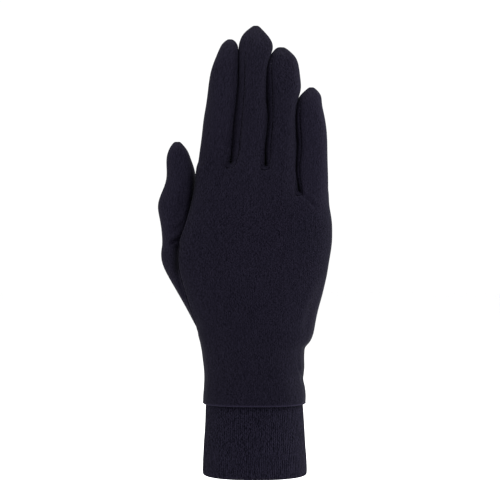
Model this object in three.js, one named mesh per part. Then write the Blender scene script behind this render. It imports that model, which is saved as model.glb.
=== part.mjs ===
// A right-hand dress glove in fine silk jersey with a knitted wrist cuff, in its worn form.
// Millimetres, +Z up towards the fingertips. The back of the glove faces -Y, the palm +Y.
// The thumb is at -X.
// The origin is the centre of the wrist opening, in the plane of the cuff's lower rim.
//
// The glove is drawn as one net of four-sided patches. Rings of points climb from the hem to the knuckles,
// part there into four finger tubes, and leave an oval hole at the side from which the thumb grows.
// Each patch belongs to one cut piece of cloth: the hand, the thumb or one of the three fourchettes,
// the narrow strips that form the facing sides of two neighbouring fingers and the crotch between them.
// Each piece is then thickened inwards to its wall and drawn back a little from its seams.
import * as THREE from "three";

const WALL = 1.2; // jersey wall, turned seams included
const CUFF_WALL = 1.7; // the cuff is folded double
const SEAM_SETBACK = 0.18; // each piece stops this far from the line of a seam
const FINGER_GAP = 0.4; // between neighbouring fingers, which lie side by side
const FINGER_LEAN = -0.15; // x shift per mm of depth, so neighbouring fingers overlap as seen from the back
const HEM_HEIGHT = 41.3; // lower edge of the hand piece, which laps over the cuff

// Columns of a ring: four patches over the back and the palm of a finger, three down each side of it.
const FACE_PATCHES = 4;
const SIDE_PATCHES = 3;
const FACE_SPREAD = [0, 0.22, 0.5, 0.78, 1]; // share of a finger's width at each of its five columns
const FACE_COLUMNS = 4 * (FACE_PATCHES + 1);
const HALF_RING = FACE_COLUMNS + SIDE_PATCHES - 1;
const RING = 2 * HALF_RING;

// Turns rows of numbers into a function of the first column that gives a smooth section in between.
function sections(columns, rows) {
  const at = rows.map((row) => row[0]);
  const slopes = rows[0].map((_, c) => smoothSlopes(at, rows.map((row) => row[c])));
  return (where) => {
    const above = at.findIndex((value) => value > where);
    const k = above < 0 ? at.length - 2 : Math.max(above - 1, 0);
    const span = at[k + 1] - at[k];
    const t = THREE.MathUtils.clamp((where - at[k]) / span, 0, 1);
    const [t2, t3] = [t * t, t * t * t];
    const section = {};
    columns.forEach((name, c) => {
      const values = (2 * t3 - 3 * t2 + 1) * rows[k][c] + (3 * t2 - 2 * t3) * rows[k + 1][c];
      const bends = (t3 - 2 * t2 + t) * slopes[c][k] + (t3 - t2) * slopes[c][k + 1];
      section[name] = values + bends * span;
    });
    return section;
  };
}

// Slopes that keep a curve through the values free of overshoot.
function smoothSlopes(at, values) {
  const rise = values.slice(1).map((v, k) => (v - values[k]) / (at[k + 1] - at[k]));
  return values.map((_, k) => {
    if (k === 0 || k === values.length - 1) return rise[k === 0 ? 0 : k - 1];
    const [before, after] = [rise[k - 1], rise[k]];
    return before * after <= 0 ? 0 : (2 * before * after) / (before + after);
  });
}

// Hand piece: outline seen from the back, depth of back and palm, depth of its side edges,
// width of the turned lip at the thumb side, and how square the palm is at the thumb side.
const handSection = sections(
  ["z", "left", "right", "back", "palm", "thumbEdge", "outerEdge", "lip", "thumbPalm"],
  [
    [41.3, -29.4, 28.9, -20.8, 20.2, 0, 0, 1.9, 2.2],
    [45, -29.3, 29.0, -20.6, 20.1, 0, 0, 1.9, 2.2],
    [50, -28.9, 28.5, -20.1, 19.9, 0, 0, 1.9, 2.2],
    [55, -28.7, 27.5, -19.8, 19.6, 0, 0, 1.9, 2.2],
    [60, -28.9, 28.2, -19.8, 19.6, 0, 0, 1.9, 2.2],
    [65, -29.5, 28.1, -19.7, 19.7, 0, 0, 1.9, 2.2],
    [70, -30.1, 28.3, -19.4, 19.9, 0, 0, 1.9, 2.2],
    [72, -30.5, 28.6, -19.3, 20.1, 0, 0, 1.9, 2.2],
    [74.5, -30.9, 30.7, -19.1, 20.6, 0, 0.6, 1.9, 2.2],
    [77, -31.6, 32.3, -19.0, 21.2, 0, 1.0, 1.8, 2.2],
    [81, -32.7, 33.6, -18.8, 21.9, 0.3, 1.4, 1.8, 2.2],
    [85.5, -34.0, 34.3, -18.5, 22.4, 0.6, 1.6, 1.7, 2.2],
    [90, -36.3, 35.1, -18.1, 22.6, 0.8, 1.6, 1.6, 2.2],
    [99, -40.2, 37.6, -17.6, 21.6, 0.4, 1.2, 1.3, 2.2],
    [108, -43.4, 40.1, -17.2, 19.6, -1.5, 0.4, 1.1, 2.1],
    [117, -45.6, 41.6, -16.9, 17.0, -3.5, -0.6, 0.9, 1.9],
    [126, -45.0, 43.1, -16.6, 14.6, -5.0, -1.4, 0.8, 1.65],
    [135, -42.7, 44.0, -16.3, 12.9, -5.5, -2.0, 0.9, 1.5],
    [144, -40.4, 43.8, -16.1, 12.1, -5.5, -2.2, 1.3, 1.45],
    [153, -37.6, 42.3, -15.9, 11.4, -5.2, -2.4, 1.7, 1.5],
    [162, -35.6, 41.9, -15.6, 10.6, -4.8, -2.6, 2.0, 1.7],
    [170, -34.2, 41.6, -15.1, 9.0, -4.4, -3.0, 2.2, 2.0],
    [178, -32.6, 41.4, -14.4, 7.2, -4.0, -3.4, 2.4, 2.2],
  ],
);
const BACK_SQUARENESS = 2.4;
const PALM_SQUARENESS = 2.2;
const OUTER_LIP = 1.8; // the same lip at the little finger's side

// Soft mounds and hollows: place, reach and height of each, outwards from the cloth.
const mounds = [
  { name: "thumb ball", side: "palm", x: -22, z: 100, reachX: 15, reachZ: 23, height: 3.2 },
  { name: "heel of the hand", side: "palm", x: 22, z: 98, reachX: 14, reachZ: 25, height: 2.4 },
  { name: "hollow of the palm", side: "palm", x: 3, z: 127, reachX: 15, reachZ: 25, height: -3.6 },
  { name: "index knuckle", side: "back", x: -22, z: 167, reachX: 7, reachZ: 8, height: 0.9 },
  { name: "middle knuckle", side: "back", x: -3, z: 170, reachX: 7, reachZ: 8, height: 1.1 },
  { name: "ring knuckle", side: "back", x: 15, z: 165, reachX: 7, reachZ: 8, height: 0.9 },
  { name: "little knuckle", side: "back", x: 32, z: 155, reachX: 7, reachZ: 8, height: 0.8 },
  { name: "wrist bone", side: "back", x: 19, z: 57, reachX: 9, reachZ: 9, height: 1.5 },
];

// Crotches between the fingers: centre, width between the two seams, height at the back and at the palm.
const crotches = [
  { name: "index_middle", x: -14.3, width: 4.6, backZ: 174.2, palmZ: 178 },
  { name: "middle_ring", x: 6.5, width: 4.3, backZ: 173.0, palmZ: 177 },
  { name: "ring_little", x: 24.8, width: 4.3, backZ: 159.0, palmZ: 165 },
];
const CROTCH_ARCH = 1.6; // the strip between two fingers rises this much between back and palm
const CROTCH_FLOOR = 0.2; // its width half way through, as a share of the width at the seams
// Where the fingers leave the hand: heights at the two outer fingers, and the outermost columns there.
const KNUCKLE_LINE = { z: 172, indexZ: 172.5, littleZ: 157.5, left: -31.6, right: 39.7 };

// Fingers: outline seen from the back and depth of back and palm, by height, then the crown of the tip.
// Neighbours share the line that they touch along. The slanting rings of a finger's base turn level at
// the height "fan".
const fingers = [
  {
    name: "index",
    crown: [-14.4, 3.8, 248.2],
    fan: 184,
    levels: [193, 202, 211, 220, 229, 236, 241, 244.6, 247],
    table: [
      [176, -32.2, -14.2, -14.2, 6.8],
      [184, -31.1, -13.4, -13.2, 5.4],
      [194, -29.8, -12.4, -12.6, 5.0],
      [204, -28.7, -11.6, -12.0, 5.0],
      [214, -27.0, -10.6, -10.6, 5.2],
      [223, -26.1, -9.8, -9.2, 5.4],
      [231.5, -24.5, -9.4, -8.0, 5.6],
      [237, -22.5, -9.3, -6.9, 5.6],
      [241, -20.9, -9.4, -5.8, 5.3],
      [244.6, -19.3, -9.8, -4.3, 4.6],
      [247, -17.3, -11.2, -2.4, 3.3],
    ],
  },
  {
    name: "middle",
    crown: [0.8, 4.5, 256.1],
    fan: 184,
    levels: [193, 202, 211, 220, 229, 236, 241, 245.5, 249.6, 252.6, 254.7],
    table: [
      [176, -14.2, 6.4, -14.6, 7.0],
      [184, -13.4, 6.4, -13.8, 5.6],
      [194, -12.4, 7.0, -13.3, 5.2],
      [204, -11.6, 7.5, -12.8, 5.2],
      [214, -10.6, 7.0, -12.0, 5.2],
      [223, -9.8, 7.0, -11.0, 5.3],
      [231.5, -9.4, 7.1, -9.8, 5.4],
      [237, -9.3, 8.4, -9.0, 5.5],
      [241, -9.2, 9.7, -8.2, 5.5],
      [245.5, -8.8, 9.7, -6.9, 5.2],
      [249.6, -7.4, 7.6, -5.0, 4.4],
      [252.6, -5.3, 5.3, -3.1, 3.4],
      [254.7, -2.9, 3.6, -1.4, 2.2],
    ],
  },
  {
    name: "ring",
    crown: [14.8, 3.2, 243.5],
    fan: 184,
    levels: [193, 202, 211, 218, 225, 232, 236.5, 239.6, 242.2],
    table: [
      [160, 6.5, 24.9, -14.6, 9.0],
      [176, 6.4, 23.6, -14.2, 7.0],
      [184, 6.4, 23.9, -13.4, 5.4],
      [194, 7.0, 23.9, -12.7, 5.0],
      [204, 7.5, 23.5, -12.0, 5.0],
      [211, 7.1, 24.0, -11.2, 5.0],
      [218, 7.0, 25.9, -10.4, 5.1],
      [225, 7.0, 25.8, -9.3, 5.2],
      [232, 7.2, 25.0, -8.0, 5.2],
      [236.5, 8.2, 23.7, -6.8, 5.0],
      [239.6, 9.4, 21.5, -5.3, 4.4],
      [242.2, 11.4, 18.9, -2.8, 3.1],
    ],
  },
  {
    name: "little",
    crown: [32.2, 0.8, 220.3],
    fan: 172,
    levels: [180, 188, 196, 204, 209.5, 213.5, 216.5, 219],
    table: [
      [160, 25.0, 41.5, -12.6, 7.6],
      [172, 23.5, 41.2, -11.9, 5.0],
      [180, 23.7, 41.0, -11.4, 4.2],
      [188, 24.1, 40.9, -10.8, 4.0],
      [196, 23.8, 40.5, -10.2, 4.0],
      [204, 23.5, 39.3, -9.2, 4.2],
      [209.5, 23.8, 38.2, -8.2, 4.3],
      [213.5, 24.6, 37.9, -6.8, 4.0],
      [216.5, 26.6, 37.1, -5.0, 3.2],
      [219, 29.2, 35.2, -2.8, 1.9],
    ],
  },
];
const FINGER_BEND = { from: 195, reach: 60, depth: 3.6 }; // the relaxed fingers bend a little to the palm
const FINGER_COLUMNS = ["z", "left", "right", "back", "palm"];
const FINGER_SQUARENESS = 2.35;
// Smoothing where the fingers leave the hand: how often, and over how many rings.
const KNUCKLE_EASING = { rounds: 3, ringsBelow: 3, ringsAbove: 4 };
// Seams of a finger, in degrees from the middle of its back or palm towards the thumb and away from it.
const FINGER_SEAMS = { thumbSide: 44, outerSide: 64, palm: 56 };
const FAN_STEPS = [0.3, 0.62]; // where the slanting rings stand on the way up to the level one
const CROWN_FULLNESS = 0.62; // share of the way to the top that a crown has risen at its outermost points
const CROWN_PULL = 0.12; // how far its points are drawn in below the top
const CROWN_SIDE_RISE = 1.3; // how much faster it rises inwards from its two narrow sides
const FOURCHETTE_END = 10; // a fourchette stops this far below the shorter of its two fingertips

// Hand rings: level up to the web of the thumb, and from there spread evenly up to the knuckle line.
const WRIST_ROWS = [HEM_HEIGHT, 45, 50, 55, 60, 65.5, 70, 72.6, 75.4, 79.5];
const LEVEL_ROWS = [...WRIST_ROWS, 84, 93, 102, 111, 119, 126, 132];
const SPREAD_ROWS = [0.2, 0.4, 0.6, 0.8, 1];

// Thumb hole: rows and columns of the hand's net that the thumb piece takes the place of.
const THUMB_HOLE = { fromZ: 84, toZ: 132, palmColumn: 2 };
// Thumb: outer and inner point of each slanting ring seen from the back, its middle depth and half depth.
const thumbRings = sections(
  ["ring", "outerX", "outerZ", "innerX", "innerZ", "middleY", "halfDepth"],
  [
    [1, -53.4, 132.5, -38.8, 135.5, 9.8, 10.7],
    [2, -54.3, 143.0, -37.2, 144.0, 8.9, 10.4],
    [3, -55.8, 151.7, -36.2, 152.0, 8.3, 10.2],
    [4, -54.4, 158.8, -35.4, 159.0, 7.8, 9.9],
    [5, -51.4, 166.4, -34.9, 166.4, 7.5, 9.5],
    [6, -50.7, 173.4, -34.8, 173.4, 7.2, 8.9],
    [7, -50.8, 179.8, -36.6, 179.8, 7.1, 8.0],
    [8, -49.6, 184.8, -38.6, 184.8, 6.8, 6.6],
    [9, -47.7, 188.2, -41.2, 188.2, 6.6, 4.3],
  ],
);
const THUMB_RINGS = 9;
const THUMB_CROWN = [-44.9, 6.4, 189.8];
const THUMB_ROOT_STEPS = [0.2, 0.42, 0.65, 0.85]; // rings between the hole and the first thumb ring
const THUMB_ROOT_BEND = 0.3; // how far before the first ring the root has turned along the thumb
const THUMB_WEB_DIP = 5; // how far the web sags between the thumb and the hand
const THUMB_SQUARENESS = 2.2;
const THUMB_BULGE = { z: 117.5, reach: 10, out: 2.5 }; // ball of the thumb at its outer edge

// Cuff: the same outline columns as the hand, up to where it slips under the hem.
const cuffSection = sections(
  ["z", "left", "right", "back", "palm"],
  [
    [0, -29.1, 29.2, -20.8, 20.2],
    [1.4, -29.6, 29.7, -21.3, 20.7],
    [6, -29.5, 29.6, -21.2, 20.6],
    [17, -29.0, 28.8, -20.6, 20.1],
    [28.5, -28.2, 28.1, -19.8, 19.4],
    [37.5, -27.9, 27.5, -19.3, 18.8],
    [41.3, -27.8, 27.2, -19.2, 18.6],
    [47, -27.5, 27.0, -18.9, 18.4],
  ],
);
const CUFF_ROWS = [0, 1.4, 6, 17, 28.5, 38, 42.5, 47]; // it runs up inside the hem
const CUFF_COLUMNS = 40;

const lerp = THREE.MathUtils.lerp;

// How far a rounded outline stands out, from 0 to 1, at v, from -1 to 1 across it.
function swell(v, squareness) {
  return Math.max(1 - Math.min(Math.abs(v), 1) ** squareness, 0) ** (1 / squareness);
}

// A point of a rounded outline of half width and half depth 1, at an angle from its -Y side towards +X.
function roundedPoint(angle, squareness) {
  const power = 2 / squareness;
  const [sin, cos] = [Math.sin(angle), Math.cos(angle)];
  return [Math.sign(sin) * Math.abs(sin) ** power, -Math.sign(cos) * Math.abs(cos) ** power];
}

// Where the face columns stand, as shares of the hand's width on the knuckle line.
const knuckleWidth = handSection(KNUCKLE_LINE.z);
const shareOf = (x) => (x - knuckleWidth.left) / (knuckleWidth.right - knuckleWidth.left);
const columnShares = fingers.flatMap((_, f) => {
  const from = f === 0 ? KNUCKLE_LINE.left : crotches[f - 1].x + crotches[f - 1].width / 2;
  const to = f === 3 ? KNUCKLE_LINE.right : crotches[f].x - crotches[f].width / 2;
  return FACE_SPREAD.map((s) => shareOf(lerp(from, to, s)));
});

// Height of the knuckle line at a face column, on the back or the palm.
function knuckleHeight(column, side) {
  const f = Math.floor(column / (FACE_PATCHES + 1));
  const z = side === "back" ? "backZ" : "palmZ";
  const lift = side === "back" ? 0 : crotches[0].palmZ - crotches[0].backZ;
  const from = f === 0 ? KNUCKLE_LINE.indexZ + lift : crotches[f - 1][z];
  const to = f === 3 ? KNUCKLE_LINE.littleZ + lift : crotches[f][z];
  return lerp(from, to, FACE_SPREAD[column % (FACE_PATCHES + 1)]);
}

// How much the mounds raise the cloth at a place.
function moundHeight(side, x, z) {
  const raise = (m) => m.height * Math.exp(-(((x - m.x) / m.reachX) ** 2) - ((z - m.z) / m.reachZ) ** 2);
  return mounds.filter((m) => m.side === side).reduce((sum, m) => sum + raise(m), 0);
}

// A point on the back or the palm of the hand piece. The outermost columns stand on the lips of the sides.
function handFacePoint(column, z, side) {
  const s = handSection(z);
  const width = s.right - s.left;
  const lips = { 0: s.lip / width, [FACE_COLUMNS - 1]: 1 - OUTER_LIP / width };
  const share = lips[column] ?? columnShares[column];
  const v = 2 * share - 1;
  const palmSquareness = v < 0 ? s.thumbPalm : PALM_SQUARENESS;
  const out = swell(v, side === "back" ? BACK_SQUARENESS : palmSquareness);
  const x = lerp(s.left, s.right, share);
  const edge = lerp(s.thumbEdge, s.outerEdge, share);
  const face = side === "back" ? s.back : s.palm;
  const raised = Math.sign(face) * moundHeight(side, x, z);
  return new THREE.Vector3(x, edge + (face - edge + raised) * out, z);
}

// A point on a side of the hand piece, part of the way from its back lip to its palm lip.
function handSidePoint(back, palm, way, isOuter) {
  const p = back.clone().lerp(palm, way);
  const s = handSection(p.z);
  const edge = isOuter ? s.outerEdge : s.thumbEdge;
  const palmSquareness = isOuter ? PALM_SQUARENESS : s.thumbPalm;
  const [face, squareness] = p.y < edge ? [s.back, BACK_SQUARENESS] : [s.palm, palmSquareness];
  const half = ((s.right - s.left) / 2) * swell((p.y - edge) / (face - edge), squareness);
  p.x = (s.left + s.right) / 2 + (isOuter ? half : -half);
  return p;
}

// One ring of the hand piece: the back from the thumb outwards, the outer side, the palm, the thumb side.
function handRing(heightOf) {
  const columns = [...columnShares.keys()];
  const back = columns.map((c) => handFacePoint(c, heightOf(c, "back"), "back"));
  const palm = columns.map((c) => handFacePoint(c, heightOf(c, "palm"), "palm"));
  const steps = Array.from({ length: SIDE_PATCHES - 1 }, (_, i) => (i + 1) / SIDE_PATCHES);
  const outer = steps.map((way) => handSidePoint(back.at(-1), palm.at(-1), way, true));
  const thumb = steps.map((way) => handSidePoint(back[0], palm[0], 1 - way, false));
  return [...back, ...outer, ...palm.toReversed(), ...thumb];
}

// The net: its points, and its patches with the piece that each belongs to.
const net = { points: [], patches: [] };
const addPoint = (p) => net.points.push(p) - 1;

function addBand(lower, upper, pieceOf, closed = true) {
  const count = closed ? lower.length : lower.length - 1;
  for (let i = 0; i < count; i++) {
    const j = (i + 1) % lower.length;
    const piece = pieceOf(i);
    if (piece) net.patches.push({ corners: [lower[i], lower[j], upper[j], upper[i]], piece });
  }
}

// Hand rings.
const handRings = [
  ...LEVEL_ROWS.map((z) => () => z),
  ...SPREAD_ROWS.map((s) => (c, side) => lerp(LEVEL_ROWS.at(-1), knuckleHeight(c, side), s)),
].map((heightOf) => handRing(heightOf).map(addPoint));

const backColumn = (c) => c;
const palmColumn = (c) => HALF_RING + FACE_COLUMNS - 1 - c;
const holeRows = [LEVEL_ROWS.indexOf(THUMB_HOLE.fromZ), LEVEL_ROWS.indexOf(THUMB_HOLE.toZ)];
const holeColumns = [palmColumn(THUMB_HOLE.palmColumn), RING]; // from the palm round to the back edge
handRings.slice(1).forEach((upper, k) =>
  addBand(handRings[k], upper, (i) => {
    const inHole = k >= holeRows[0] && k < holeRows[1] && i >= holeColumns[0] && i < holeColumns[1];
    return inHole ? null : "hand";
  }),
);

// Crotch strips: the floor between two fingers, from its back seam to its palm seam.
const knuckleRing = handRings.at(-1);
const floors = crotches.map((crotch, g) => {
  const column = (g + 1) * (FACE_PATCHES + 1);
  const [thumbSide, outerSide] = [-1, 0].map((side) => {
    const [back, palm] = [knuckleRing[backColumn(column + side)], knuckleRing[palmColumn(column + side)]];
    const [backPoint, palmPoint] = [net.points[back], net.points[palm]];
    const between = Array.from({ length: SIDE_PATCHES - 1 }, (_, i) => {
      const p = backPoint.clone().lerp(palmPoint, (i + 1) / SIDE_PATCHES);
      const leaning = FINGER_LEAN * (p.y - (backPoint.y + palmPoint.y) / 2);
      p.x = crotch.x + (side + 0.5) * crotch.width * CROTCH_FLOOR + leaning;
      p.z += CROTCH_ARCH;
      return addPoint(p);
    });
    return [back, ...between, palm];
  });
  addBand(outerSide, thumbSide, () => "fourchette_" + crotch.name, false);
  return { thumbSide: thumbSide.slice(1, -1), outerSide: outerSide.slice(1, -1) };
});

// Closes a ring with a crown: a grid of patches, face wide and side deep, drawn up to the top point.
function addCrown(ring, face, side, top, piece) {
  const ringIndex = (r, c) => {
    if (r === 0) return c;
    if (r === side) return 2 * face + side - c;
    return c === 0 ? ring.length - r : face + r;
  };
  const edgePoint = (r, c) => net.points[ring[ringIndex(r, c)]].clone();
  const grid = Array.from({ length: side + 1 }, (_, r) =>
    Array.from({ length: face + 1 }, (_, c) => {
      if (r === 0 || r === side || c === 0 || c === face) return ring[ringIndex(r, c)];
      const [u, v] = [c / face, r / side];
      const across = edgePoint(r, 0).lerp(edgePoint(r, face), u);
      const down = edgePoint(0, c).lerp(edgePoint(side, c), v);
      const p = across.lerp(down, 0.5);
      const inward = 2 * Math.min(u, 1 - u, CROWN_SIDE_RISE * v, CROWN_SIDE_RISE * (1 - v));
      p.z = lerp(p.z, top.z, Math.min(CROWN_FULLNESS * (1 + inward), 1));
      p.x = lerp(p.x, top.x, CROWN_PULL);
      p.y = lerp(p.y, top.y, CROWN_PULL);
      return addPoint(p);
    }),
  );
  for (let r = 0; r < side; r++) addBand(grid[r], grid[r + 1], () => piece, false);
}

// The columns of a finger ring, in degrees: over the back, down the outer side, over the palm, up again.
const ringAngles = [
  [-FINGER_SEAMS.thumbSide, FACE_PATCHES],
  [FINGER_SEAMS.outerSide, SIDE_PATCHES],
  [180 - FINGER_SEAMS.palm, FACE_PATCHES],
  [180 + FINGER_SEAMS.palm, SIDE_PATCHES],
].flatMap(([from, patches], k, corners) => {
  const to = k < 3 ? corners[k + 1][0] : 360 - FINGER_SEAMS.thumbSide;
  return Array.from({ length: patches }, (_, i) => THREE.MathUtils.degToRad(lerp(from, to, i / patches)));
});

// A finger's outline at a height, with the gap to its neighbours taken off and its bend to the palm.
function fingerOutline(f, z, section) {
  const left = section.left + (f > 0 ? FINGER_GAP / 2 : 0);
  const right = section.right - (f < 3 ? FINGER_GAP / 2 : 0);
  const bend = FINGER_BEND.depth * (Math.max(z - FINGER_BEND.from, 0) / FINGER_BEND.reach) ** 2;
  return ringAngles.map((angle) => {
    const [across, deep] = roundedPoint(angle, FINGER_SQUARENESS);
    const depth = (deep * (section.palm - section.back)) / 2;
    const x = (left + right) / 2 + (across * (right - left)) / 2 + FINGER_LEAN * depth;
    return new THREE.Vector3(x, (section.back + section.palm) / 2 + depth + bend, z);
  });
}

// Evens out a chain of points that climbs from the hand into a finger. Its ends stay.
function ease(chain, easeAcross) {
  for (let round = 0; round < KNUCKLE_EASING.rounds; round++)
    for (let k = 1; k < chain.length - 1; k++) {
      const [below, p, above] = [k - 1, k, k + 1].map((c) => net.points[chain[c]]);
      const between = below.clone().lerp(above, (p.z - below.z) / (above.z - below.z));
      p.y = lerp(p.y, between.y, 0.5);
      if (easeAcross) p.x = lerp(p.x, between.x, 0.5);
    }
}

fingers.forEach((finger, f) => {
  const section = sections(FINGER_COLUMNS, finger.table);
  const columns = Array.from({ length: FACE_PATCHES + 1 }, (_, i) => f * (FACE_PATCHES + 1) + i);
  const base = [
    ...columns.map((c) => knuckleRing[backColumn(c)]),
    ...(f === 3 ? knuckleRing.slice(FACE_COLUMNS, HALF_RING) : floors[f].thumbSide),
    ...columns.toReversed().map((c) => knuckleRing[palmColumn(c)]),
    ...(f === 0 ? knuckleRing.slice(HALF_RING + FACE_COLUMNS) : floors[f - 1].outerSide.toReversed()),
  ];

  // The slanting rings between the knuckle line and the first level ring.
  const level = fingerOutline(f, finger.fan, section(finger.fan));
  const fan = FAN_STEPS.map((s) =>
    base.map((point, i) => {
      const p = net.points[point].clone().lerp(level[i], s);
      const outline = fingerOutline(f, p.z, section(p.z))[i];
      return p.set(lerp(p.x, outline.x, s), lerp(p.y, outline.y, s), p.z);
    }),
  );
  const levels = finger.levels.map((z) => fingerOutline(f, z, section(z)));
  const rings = [base, ...[...fan, level, ...levels].map((ring) => ring.map(addPoint))];

  // Its two sides belong to the fourchettes, up to near the shorter fingertip of each pair.
  const endOf = (g) => Math.min(fingers[g].crown[2], fingers[g + 1].crown[2]) - FOURCHETTE_END;
  const pieceAt = (i, z) => {
    const onOuterSide = i >= FACE_PATCHES && i < FACE_PATCHES + SIDE_PATCHES;
    const onThumbSide = i >= 2 * FACE_PATCHES + SIDE_PATCHES;
    if (onOuterSide && f < 3 && z < endOf(f)) return "fourchette_" + crotches[f].name;
    if (onThumbSide && f > 0 && z < endOf(f - 1)) return "fourchette_" + crotches[f - 1].name;
    return "hand";
  };
  rings.slice(1).forEach((upper, k) => {
    const height = net.points[rings[k][0]].z;
    addBand(rings[k], upper, (i) => pieceAt(i, height));
  });
  const [topX, topY, topZ] = finger.crown;
  addCrown(rings.at(-1), FACE_PATCHES, SIDE_PATCHES, new THREE.Vector3(topX, topY, topZ), "hand");

  base.forEach((point, i) => {
    const column = knuckleRing.indexOf(point);
    if (column < 0) return;
    const below = handRings.slice(-1 - KNUCKLE_EASING.ringsBelow, -1).map((ring) => ring[column]);
    const above = rings.slice(1, 1 + KNUCKLE_EASING.ringsAbove).map((ring) => ring[i]);
    const acrossFace = (column % HALF_RING) % (FACE_PATCHES + 1);
    const isInner = column % HALF_RING < FACE_COLUMNS && acrossFace > 0 && acrossFace < FACE_PATCHES;
    ease([...below, point, ...above], isInner);
  });
});

// Thumb: from the outline of its hole, up the back edge, over the web, down the palm edge and back below.
const holeOutline = [];
for (let k = holeRows[0]; k < holeRows[1]; k++) holeOutline.push(handRings[k][0]);
for (let c = RING; c > holeColumns[0]; c--) holeOutline.push(handRings[holeRows[1]][c % RING]);
for (let k = holeRows[1]; k > holeRows[0]; k--) holeOutline.push(handRings[k][holeColumns[0]]);
for (let c = holeColumns[0]; c < RING; c++) holeOutline.push(handRings[holeRows[0]][c]);
const holeTall = holeRows[1] - holeRows[0];
const holeWide = holeColumns[1] - holeColumns[0];

// Angle of a thumb column: 0 on the outer side, a quarter turn at the back, a half turn at the web.
const thumbAngle = (i) => ((i + holeWide / 2) / holeOutline.length) * 2 * Math.PI;

function thumbRing(ring) {
  const s = thumbRings(ring);
  const outer = new THREE.Vector3(s.outerX, s.middleY, s.outerZ);
  const inner = new THREE.Vector3(s.innerX, s.middleY, s.innerZ);
  return holeOutline.map((_, i) => {
    const [deep, across] = roundedPoint(thumbAngle(i), THUMB_SQUARENESS);
    const p = outer.clone().lerp(inner, (across + 1) / 2);
    p.y -= s.halfDepth * deep;
    return p;
  });
}

// The root flows from the hole into the first ring, and reaches it along the thumb.
const [firstThumbRing, secondThumbRing] = [thumbRing(1), thumbRing(2)];
function rootPoint(i, t) {
  const [start, end] = [net.points[holeOutline[i]], firstThumbRing[i]];
  const along = secondThumbRing[i].clone().sub(end).normalize();
  const bendPoint = end.clone().addScaledVector(along, -THUMB_ROOT_BEND * start.distanceTo(end));
  bendPoint.z -= THUMB_WEB_DIP * Math.max(-Math.cos(thumbAngle(i)), 0);
  const place = start.clone().lerp(bendPoint, t).lerp(bendPoint.lerp(end, t), t);
  const outwards = Math.max(-roundedPoint(thumbAngle(i), THUMB_SQUARENESS)[1], 0) ** 2;
  place.x -= THUMB_BULGE.out * outwards * Math.exp(-(((place.z - THUMB_BULGE.z) / THUMB_BULGE.reach) ** 2));
  return place;
}

let lowerRing = holeOutline;
const upperRings = [
  ...THUMB_ROOT_STEPS.map((t) => holeOutline.map((_, i) => rootPoint(i, t))),
  ...Array.from({ length: THUMB_RINGS }, (_, k) => thumbRing(k + 1)),
];
upperRings.forEach((ring) => {
  const upperRing = ring.map(addPoint);
  addBand(lowerRing, upperRing, () => "thumb");
  lowerRing = upperRing;
});
// The crown's longer edges follow the hole's wide sides, so its ring starts at the back's lower corner.
addCrown(lowerRing, holeTall, holeWide, new THREE.Vector3(...THUMB_CROWN), "thumb");

// Smooth outward direction at each point of a net.
function pointNormals(points, patches) {
  const normals = points.map(() => new THREE.Vector3());
  patches.forEach(({ corners }) => {
    const [a, b, c, d] = corners.map((i) => points[i]);
    const n = c.clone().sub(a).cross(d.clone().sub(b));
    corners.forEach((i) => normals[i].add(n));
  });
  return normals.map((n) => n.normalize());
}

// Edges that only one patch of a piece has, as pairs of points.
function freeEdges(patches) {
  const edges = new Map();
  patches.forEach(({ corners }) => {
    corners.forEach((from, i) => {
      const to = corners[(i + 1) % corners.length];
      edges.set(from + ">" + to, [from, to]);
    });
  });
  return [...edges.values()].filter(([from, to]) => !edges.has(to + ">" + from));
}

// For each point on a seam, a unit step back into its own piece, square to the seam and along the cloth.
function stepsFromSeam(points, normals, patches, edges) {
  const inward = new Map(edges.flat().map((i) => [i, new THREE.Vector3()]));
  const along = new Map(edges.flat().map((i) => [i, new THREE.Vector3()]));
  patches.forEach(({ corners }) => {
    const centre = corners.reduce((sum, i) => sum.add(points[i]), new THREE.Vector3());
    centre.divideScalar(corners.length);
    corners.forEach((i) => inward.get(i)?.add(centre).sub(points[i]));
  });
  edges.forEach(([from, to]) => {
    const step = points[to].clone().sub(points[from]).normalize();
    [from, to].forEach((i) => along.get(i).add(step));
  });
  inward.forEach((step, i) => {
    step.projectOnPlane(along.get(i).normalize()).projectOnPlane(normals[i]).normalize();
  });
  return inward;
}

// One closed solid from the patches of one piece: outer wall, inner wall, and a rim along each free edge.
function thicken(points, normals, patches, wall, isHem) {
  const edges = freeEdges(patches);
  const steps = stepsFromSeam(points, normals, patches, edges);
  const index = new Map();
  const vertices = [];
  const vertex = (i, depth) => {
    const key = i + ":" + depth;
    if (!index.has(key)) {
      index.set(key, index.size);
      const p = points[i].clone().addScaledVector(normals[i], -depth);
      if (steps.has(i) && !isHem(points[i])) p.addScaledVector(steps.get(i), SEAM_SETBACK);
      vertices.push(p.x, p.y, p.z);
    }
    return index.get(key);
  };
  const triangles = [];
  const addQuad = (a, b, c, d) => triangles.push(a, b, c, a, c, d);
  // A patch is split along its shorter diagonal, on both faces of the cloth alike.
  patches.forEach(({ corners }) => {
    const [a, b, c, d] = corners.map((i) => points[i]);
    const turned = a.distanceTo(c) <= b.distanceTo(d) ? corners : [...corners.slice(1), corners[0]];
    addQuad(...turned.map((i) => vertex(i, 0)));
    const [first, ...others] = turned;
    addQuad(...[first, ...others.toReversed()].map((i) => vertex(i, wall)));
  });
  // Both rims along a seam are split the same way, so that they stay parallel.
  edges.forEach(([from, to]) => {
    const rim = [vertex(to, 0), vertex(from, 0), vertex(from, wall), vertex(to, wall)];
    addQuad(...(from < to ? rim : [...rim.slice(1), rim[0]]));
  });
  const geometry = new THREE.BufferGeometry();
  geometry.setAttribute("position", new THREE.Float32BufferAttribute(vertices, 3));
  geometry.setIndex(triangles);
  geometry.computeVertexNormals();
  return geometry;
}

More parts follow.
